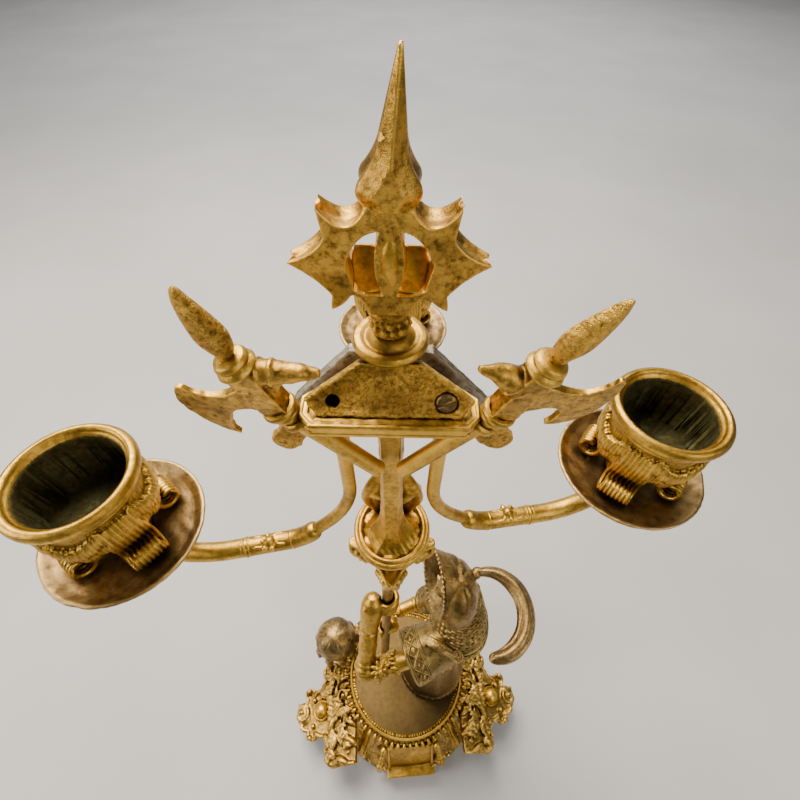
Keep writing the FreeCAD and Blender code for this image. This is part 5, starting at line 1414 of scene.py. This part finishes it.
def make_base():
    """The plinth casting, covered in curls and lobes, with beads round its foot."""
    profile = [(0, 37.9), (37.2, 37.9), (38.2, 36.6), (38.6, 33), (38.8, 30), (40.6, 24.5), (43.6, 19),
               (46.8, 13), (49.6, 8), (50.2, 6), (52.4, 5.2), (53, 3.9), (53, 1.8), (52.4, 0.1), (0, 0.1)]
    shapes = [lathe(profile, 120)]

    def surface(height):
        heights = [4, 6, 13, 19, 24.5, 30, 37]
        return np.interp(height, heights, [53, 50.2, 46.8, 43.6, 40.6, 38.8, 38.2])

    rng = np.random.default_rng(11)
    for number in range(18):
        turn = 20 * number + 4
        side = 1 if number % 2 else -1
        curl = [polar(surface(z) + 0.9, turn + side * 5 * math.sin((z - 6) / 9), z)
                for z in np.linspace(7, 35, 22)]
        shapes.append(sweep(curl, 1.3 + 0.4 * np.sin(np.arange(22) * 0.5), columns=10))
    for _ in range(150):
        turn, z = rng.uniform(0, 360), rng.uniform(8, 34)
        size = rng.uniform(1.6, 2.8)
        lean = turned_to(polar(1, turn, 0.5), (*polar(1, rng.uniform(0, 360))[:2], 1))
        shapes.append(ball(polar(surface(z) + 0.5, turn, z), (size * 1.5, size * 0.75, size * 0.6), lean, 8,
                           12))
    for number in range(60):
        shapes.append(ball(polar(51.6, 6 * number, 5.6), (1.6, 1.6, 1.2), rings=6, columns=10))
    piece("plinth_casting", [base_shape(shape) for shape in shapes], GILT_DEEP, ["base_plinth"], grain=0.7,
          ease=1)


def panel_point(across, share):
    """A point on the sloping front panel: across it, and its share of the way down."""
    return on_base((across, -38.4 - 9.6 * share, 37 - 22.0 * share))


def make_front():
    """The raised front panel."""
    low, high = -14.2, 14.2
    columns = np.linspace(low, high, 12)
    shares = (0.0, 0.18, 0.5, 1.0)
    top = [[panel_point(x, t) + vec(0, -0.6 + 0.9 * (x / high) ** 2, 0.2) for x in columns] for t in shares]
    under = [[panel_point(x, t) + vec(0, 5, -3) for x in columns] for t in shares]
    rings = [np.array(row + below[::-1]) for row, below in zip(top, under)]
    shapes = [capped(rings)]
    for across in (low + 0.6, high - 0.6):
        shapes.append(sweep([panel_point(across, t) + vec(0, -0.7, 0.5)
                                      for t in np.linspace(0, 1, 12)],
                            0.85, columns=10))
    shapes.append(sweep([panel_point(x, 0.03) + vec(0, -0.8, 0.3) for x in columns], 0.8,
                        columns=10))
    foot = slab([(low - 1, 0.2), (high + 1, 0.2), (high + 1, 15), (low - 1, 15)], 12)
    shapes.append(base_shape(moved(foot, (0, -48, 0))))
    piece("panel_front", shapes, GILT, ["front_panel"], grain=0.45, ease=2)

    shapes = []
    for way in (-1, 1):
        for number, (across, share,
                     size) in enumerate(((16.6, 0.06, 2.2), (17.2, 0.24, 1.8), (18.0, 0.42, 1.7),
                                                        (18.9, 0.62, 1.9), (19.8, 0.84, 2.2))):
            shapes.append(ball(panel_point(way * across, share) + vec(0, -0.8, 0.8),
                               (size, size * 1.1, size)))
        rib = np.array([panel_point(way * (16.4 + 3.6 * t), t) for t in np.linspace(-0.02, 1.15, 20)])
        shapes.append(sweep(rib, 1.5 + 0.25 * np.sin(np.arange(20) * 1.7), columns=12))
        strap = np.array([on_base((way * (25.5 + 6.5 * t), -27.5 - 13 * t, 37.4 - 13 * t))
                          for t in np.linspace(0, 1, 14)])
        shapes.append(sweep(strap, 3.4 - 1.4 * np.linspace(0, 1, 14), 0.9,
                            side=on_base((0, 1, 0)) - on_base((0, 0, 0)),
                            columns=16))
        for edge in (-1, 1):
            shift = vec(edge * 2.4, edge * 2.4 * way * 0.5, 0)
            shapes.append(sweep(strap + shift, 0.7, columns=8))
    for number in range(4):
        turn = 55 + 35 * number - 15
        rib = [polar(39.2 + 12 * t, turn, 36 - 32 * t) for t in np.linspace(0, 1, 14)]
        shapes.append(base_shape(sweep(rib, 1.7, columns=12)))
    piece("rib_mouldings", shapes, GILT, ["plinth_ribs"], grain=0.45, ease=1)


def make_bud():
    """The domed bud with claw-like leaves gathered under it."""
    centre = vec(-37, 1, 63.5)
    shapes = [ball(centre + vec(0, 0, 0.6), (12.8, 12.8, 12.4), rings=24, columns=48)]
    for number in range(9):
        turn = 40 * number + 12
        route = smooth_path([(11.4, 2.0, 1.2), (12.9, -3.6, 2.3), (12.8, -8.0, 2.8), (12.0, -11.6, 2.5),
                             (13.2, -14.6, 2.0), (15.0, -15.0, 1.3)], 20)
        path = np.array([centre + polar(r, turn, z) for r, z, _ in route])
        shapes.append(sweep(path, route[:, 2], route[:, 2] * 0.62, side=polar(1, turn + 90), columns=12))
    stem = lathe([(0, 21.3), (6.2, 21.3), (6.0, 26), (4.8, 32), (5.6, 37), (4.6, 42), (6.4, 48), (8.6, 53),
                  (0, 56)],
                 40, lambda angles: 1 + 0.07 * np.cos(angles * 7))
    shapes.append(moved(stem, (centre[0], centre[1], 0)))
    for number in range(12):
        turn = 30 * number
        shapes.append(ball(centre + polar(5.8, turn, -26 + 3 * (number % 3)), (2.0, 2.0, 3.4)))
        shapes.append(ball(centre + polar(6.6, turn + 15, -16 + 2 * (number % 2)), (1.9, 1.9, 2.8)))

    def creases(points, normals):
        local, reach, angle = seen_from(points, centre)
        dome = np.clip((local[:, 2] + 4) / 5, 0, 1) * np.clip(reach / 6, 0, 1)
        return dome * (0.12 * np.cos(angle * 6 + local[:, 2]) - 0.2 * np.exp(-(np.sin(angle * 3) / 0.2) ** 2))

    piece("bud_leaves", shapes, DARK_GILT, ["leaf_bud"], grain=0.4, ease=1, carve=creases)


# ---------------------------------------------------------------- stem
CAPITAL_LOW, CAPITAL_TOP, CAPITAL_REACH = 226, 235, 15.5
LANCE_CLEARANCE = 2.62
SILVER_FROM = 305


def make_capital():
    """The diamond capital: ribbed beams run out to four crockets, with a ribbed leaf hung on each corner."""
    outline = arc_outline([(*polar(CAPITAL_REACH - 0.4, 90 * corner)[:2], 0.06) for corner in range(4)], 8)
    shapes = [prism(outline * grow, CAPITAL_TOP - low, CAPITAL_TOP - high)
              for low, high, grow in ((2.4, 0.2, 1.0), (4.6, 2.8, 0.84))]
    bell = [(0, 0.4), (3.6, 0.4), (4.6, 2), (6.6, 4), (8.6, 6), (0, 6)]
    shapes.append(moved(lathe(bell, 40), (0, 0, CAPITAL_LOW)))
    for grow, drop, thick in ((0.97, 0.4, 0.6), (0.95, 2.3, 0.45), (0.82, 4.4, 0.5)):
        loop = np.column_stack([outline * grow, np.full(len(outline), CAPITAL_TOP - drop)])
        shapes.append(sweep(np.vstack([loop, loop[:1]]), thick, columns=8))
    tips = []
    for corner in range(4):
        turn = 90 * corner
        out, across = polar(1, turn), polar(1, turn + 90)
        for shift in (-3.1, -1.05, 1.05, 3.1):
            path = [out * 7.6 + across * shift * 1.3, out * 12.4 + across * shift * 0.62,
                    out * 14.8 + across * shift * 0.25]
            line = smooth_path([point + vec(0, 0, height) for point,
                                height in zip(path, (234.5, 234.6, 234.3))], 12)
            shapes.append(sweep(line, 0.62, columns=8))
        for shift in (-2.4, -0.8, 0.8, 2.4):
            path = [(14.2, 233.6, 0.5), (14.0, 231.0, 0.8), (12.6, 228.6, 1.0), (10.4, 227.2, 1.0),
                    (8.4, 227.4, 0.9)]
            line = smooth_path([(*(out * r + across * shift * k)[:2], z) for r, z, k in path], 16)
            shapes.append(sweep(line, 0.85, columns=8))
        tips.append(sweep(smooth_path([out * 10.2 + across * -3 + vec(0, 0, 227.6),
                                       out * 11.6 + vec(0, 0, 227.0),
                                       out * 10.2 + across * 3 + vec(0, 0, 227.6)], 12), 1.1, columns=10))
        tips += [ball(out * 10.6 + across * shift + vec(0, 0, 227.4), 1.3) for shift in (-2.9, 2.9)]
        for way in (-1, 1):
            start, end = polar(13.6, turn), polar(13.6, turn + way * 90)
            for share, size in ((0.14, 2.1), (0.24, 1.7), (0.33, 1.4)):
                spot = start + (end - start) * share
                shapes.append(ball(spot * 0.97 + vec(0, 0, 231.4 - share * 4), (size, size, 1.7)))
    piece("capital_diamond", shapes, GILT, ["capital"], grain=0.32, ease=1)
    piece("crocket_leaves", tips, GILT, ["crockets"], grain=0.3, ease=1)

    dish = lathe([(1.4, 235.1), (8.6, 235.1), (9.4, 236.2), (9.0, 237.6), (9.8, 239), (11.2, 241),
                  (12.0, 242.4), (12.5, 243.6), (12.5, 244.6), (12.1, 245.3), (11.6, 245.5), (11.3, 245.3),
                  (11.1, 245.7),
                  (10.6, 246.2), (10.0, 246.1), (9.5, 245.5), (8.9, 244.9), (7.8, 244.8), (1.4, 244.9)], 96)
    points, faces = dish
    piece("saucer_turned", [(points * vec(1, 1.08, 1) + vec(0, 1, 0), faces)], GILT, ["saucer"], bevel=0.12)


def make_post():
    """The six-sided post, flared like a trumpet at its foot, with raised arrises."""
    stations = smooth_path([(9.9, 245.0), (9.2, 245.8), (7.2, 247.6), (5.2, 251.5), (3.7, 257), (3.1, 265),
                            (2.9, 276), (2.9, 292), (3.0, 306), (3.5, 312), (4.6, 316.2)], 70)
    corners = []
    for r, z in stations:
        front = np.interp(z, [245, 246.4, 248.5, 252, 262, 316], [5.4, 4.2, 2.7, 1.9, 2.0, 2.3])
        corners.append(np.array([(x, y, z) for x, y in ((front, -0.87 * r), (r, 0), (front, 0.87 * r),
                                                        (-front, 0.87 * r), (-r, 0), (-front, -0.87 * r))]))
    shapes = [capped(corners)]
    for corner in range(6):
        line = np.array([ring[corner] * vec(0.96, 0.96, 1) for ring in corners])
        shapes.append(sweep(line, 0.3, columns=8))
    for turn in range(30, 390, 60):
        shapes.append(ball(polar(8.6, turn, 245.1), (1.6, 2.6, 0.6), spun(turn)))

    def cast(points, normals):
        return 0.07 * np.sin(points[:, 2] * 0.9 + points[:, 0] * 1.3) * np.sin(points[:, 0] * 1.7
                                                                               + points[:, 1] * 1.9)

    piece("post_trumpet", shapes, GILT, ["post"], grain=0.28, ease=1, carve=cast)


def make_knot():
    """Knotted drapery that hangs behind the post."""
    low, high = box_mm("drapery_knot")
    middle = (low + high) / 2
    shapes = [ball(middle + vec(0, 0.4, -2), (6.2, 3.2, 10.5))]
    for number in range(7):
        t = (number - 3) / 3
        path = smooth_path([middle + vec(t * 3.2, -0.6, 12.4), middle + vec(t * 6.6, -1.9, 5),
                            middle + vec(t * 7.8 + 0.6 * math.sin(number * 2.1), -1.2, -4),
                            middle + vec(t * 4.6, -1.0, -12.2)], 22)
        shapes.append(sweep(path, 1.5 + 0.5 * np.sin(np.linspace(0, math.pi, 22)), 1.1, side=(1, 0, 0),
                            columns=12))
    shapes.append(sweep(smooth_path([middle + vec(-8, 0, -1), middle + vec(-3, -3.2, 2.5),
                                     middle + vec(3, -3.4, 0.5), middle + vec(8, 0, 4)], 24), 2.0, 1.6,
                        side=(0, 0, 1), columns=14))
    shapes.append(ball(middle + vec(0.3, -2.6, 1.6), (2.8, 2.0, 2.6)))
    piece("drapery_folds", shapes, GILT, ["drapery_knot"], grain=0.34, ease=1)


# ---------------------------------------------------------------- stage
def make_stage():
    """A pale floor, soft lights and the camera above the front, looking down at the object."""
    size = 6.0
    mesh = bpy.data.meshes.new("floor")
    mesh.from_pydata([(x * size, y * size, 0) for x, y in ((-1, -1), (1, -1), (1, 1), (-1, 1))], [],
                     [(0, 1, 2, 3)])
    floor = bpy.data.objects.new("floor", mesh)
    bpy.context.scene.collection.objects.link(floor)
    g = Graph("floor")
    g.tree.links.new(g.ramp(g.noise(4, 2), (0.3, 0.50), (0.7, 0.56)), g.shader.inputs["Base Color"])
    g.shader.inputs["Roughness"].default_value = 0.85
    mesh.materials.append(g.material)

    world = bpy.data.worlds.new("studio")
    bpy.context.scene.world = world
    world.use_nodes = True
    world.node_tree.nodes["Background"].inputs["Color"].default_value = (0.62, 0.63, 0.66, 1)
    world.node_tree.nodes["Background"].inputs["Strength"].default_value = 0.18

    aim = Vector((0, 0, 0.24))
    lamps = (("key", (-0.25, 0.42, 1.05), 0.55, 22.0, (1.0, 0.90, 0.75)),
             ("fill", (0.60, -0.60, 0.75), 0.4, 3.4, (1.0, 0.96, 0.9)),
             ("side", (-0.9, -0.25, 0.55), 0.35, 5.0, (1.0, 0.95, 0.88)),
             ("rear", (0.0, 2.0, 1.3), 2.2, 42.0, (1.0, 0.97, 0.93)))
    for name, where, width, power, colour in lamps:
        data = bpy.data.lights.new(name, "AREA")
        data.size = width
        data.energy = power
        data.color = colour
        lamp = bpy.data.objects.new(name, data)
        lamp.location = where
        lamp.rotation_mode = "QUATERNION"
        toward = Vector((0, 0, -1)) if name == "rear" else aim - Vector(where)
        lamp.rotation_quaternion = toward.to_track_quat("-Z", "Y")
        bpy.context.scene.collection.objects.link(lamp)

    pitch, roll = math.radians(50.75), math.radians(1.08)
    ahead = Vector((0, math.cos(pitch), -math.sin(pitch)))
    right = Vector((1, 0, 0))
    up = right.cross(ahead)
    side = right * math.cos(roll) + up * math.sin(roll)
    top = up * math.cos(roll) - right * math.sin(roll)
    data = bpy.data.cameras.new("camera")
    data.lens = 19.5
    data.sensor_width = 36
    data.clip_start = 0.01
    camera = bpy.data.objects.new("camera", data)
    turn = Matrix((side, top, -ahead)).transposed().to_4x4()
    camera.matrix_world = Matrix.Translation((0.00187, -0.0567, 0.38204)) @ turn
    bpy.context.scene.collection.objects.link(camera)
    bpy.context.scene.camera = camera


paint_cad()
for light in LIGHTS:
    make_cup(light)
make_arm_trim()
make_finial()
make_dish()
for halberd in SIDES:
    make_halberd(halberd)
make_pans()
make_cover()
make_shield()
make_helmet()
make_brim()
make_plume()
make_head()
make_cape()
make_near_sleeve()
make_far_sleeve()
make_near_arm()
make_far_arm()
make_body()
make_lance()
make_platform()
bosses = [make_wing(wing) for wing in SIDES]
piece("boss_domes", bosses, GILT, ["scroll_bosses"], bevel=0.15)
make_base()
make_front()
make_bud()
make_capital()
make_post()
make_knot()
make_stage()
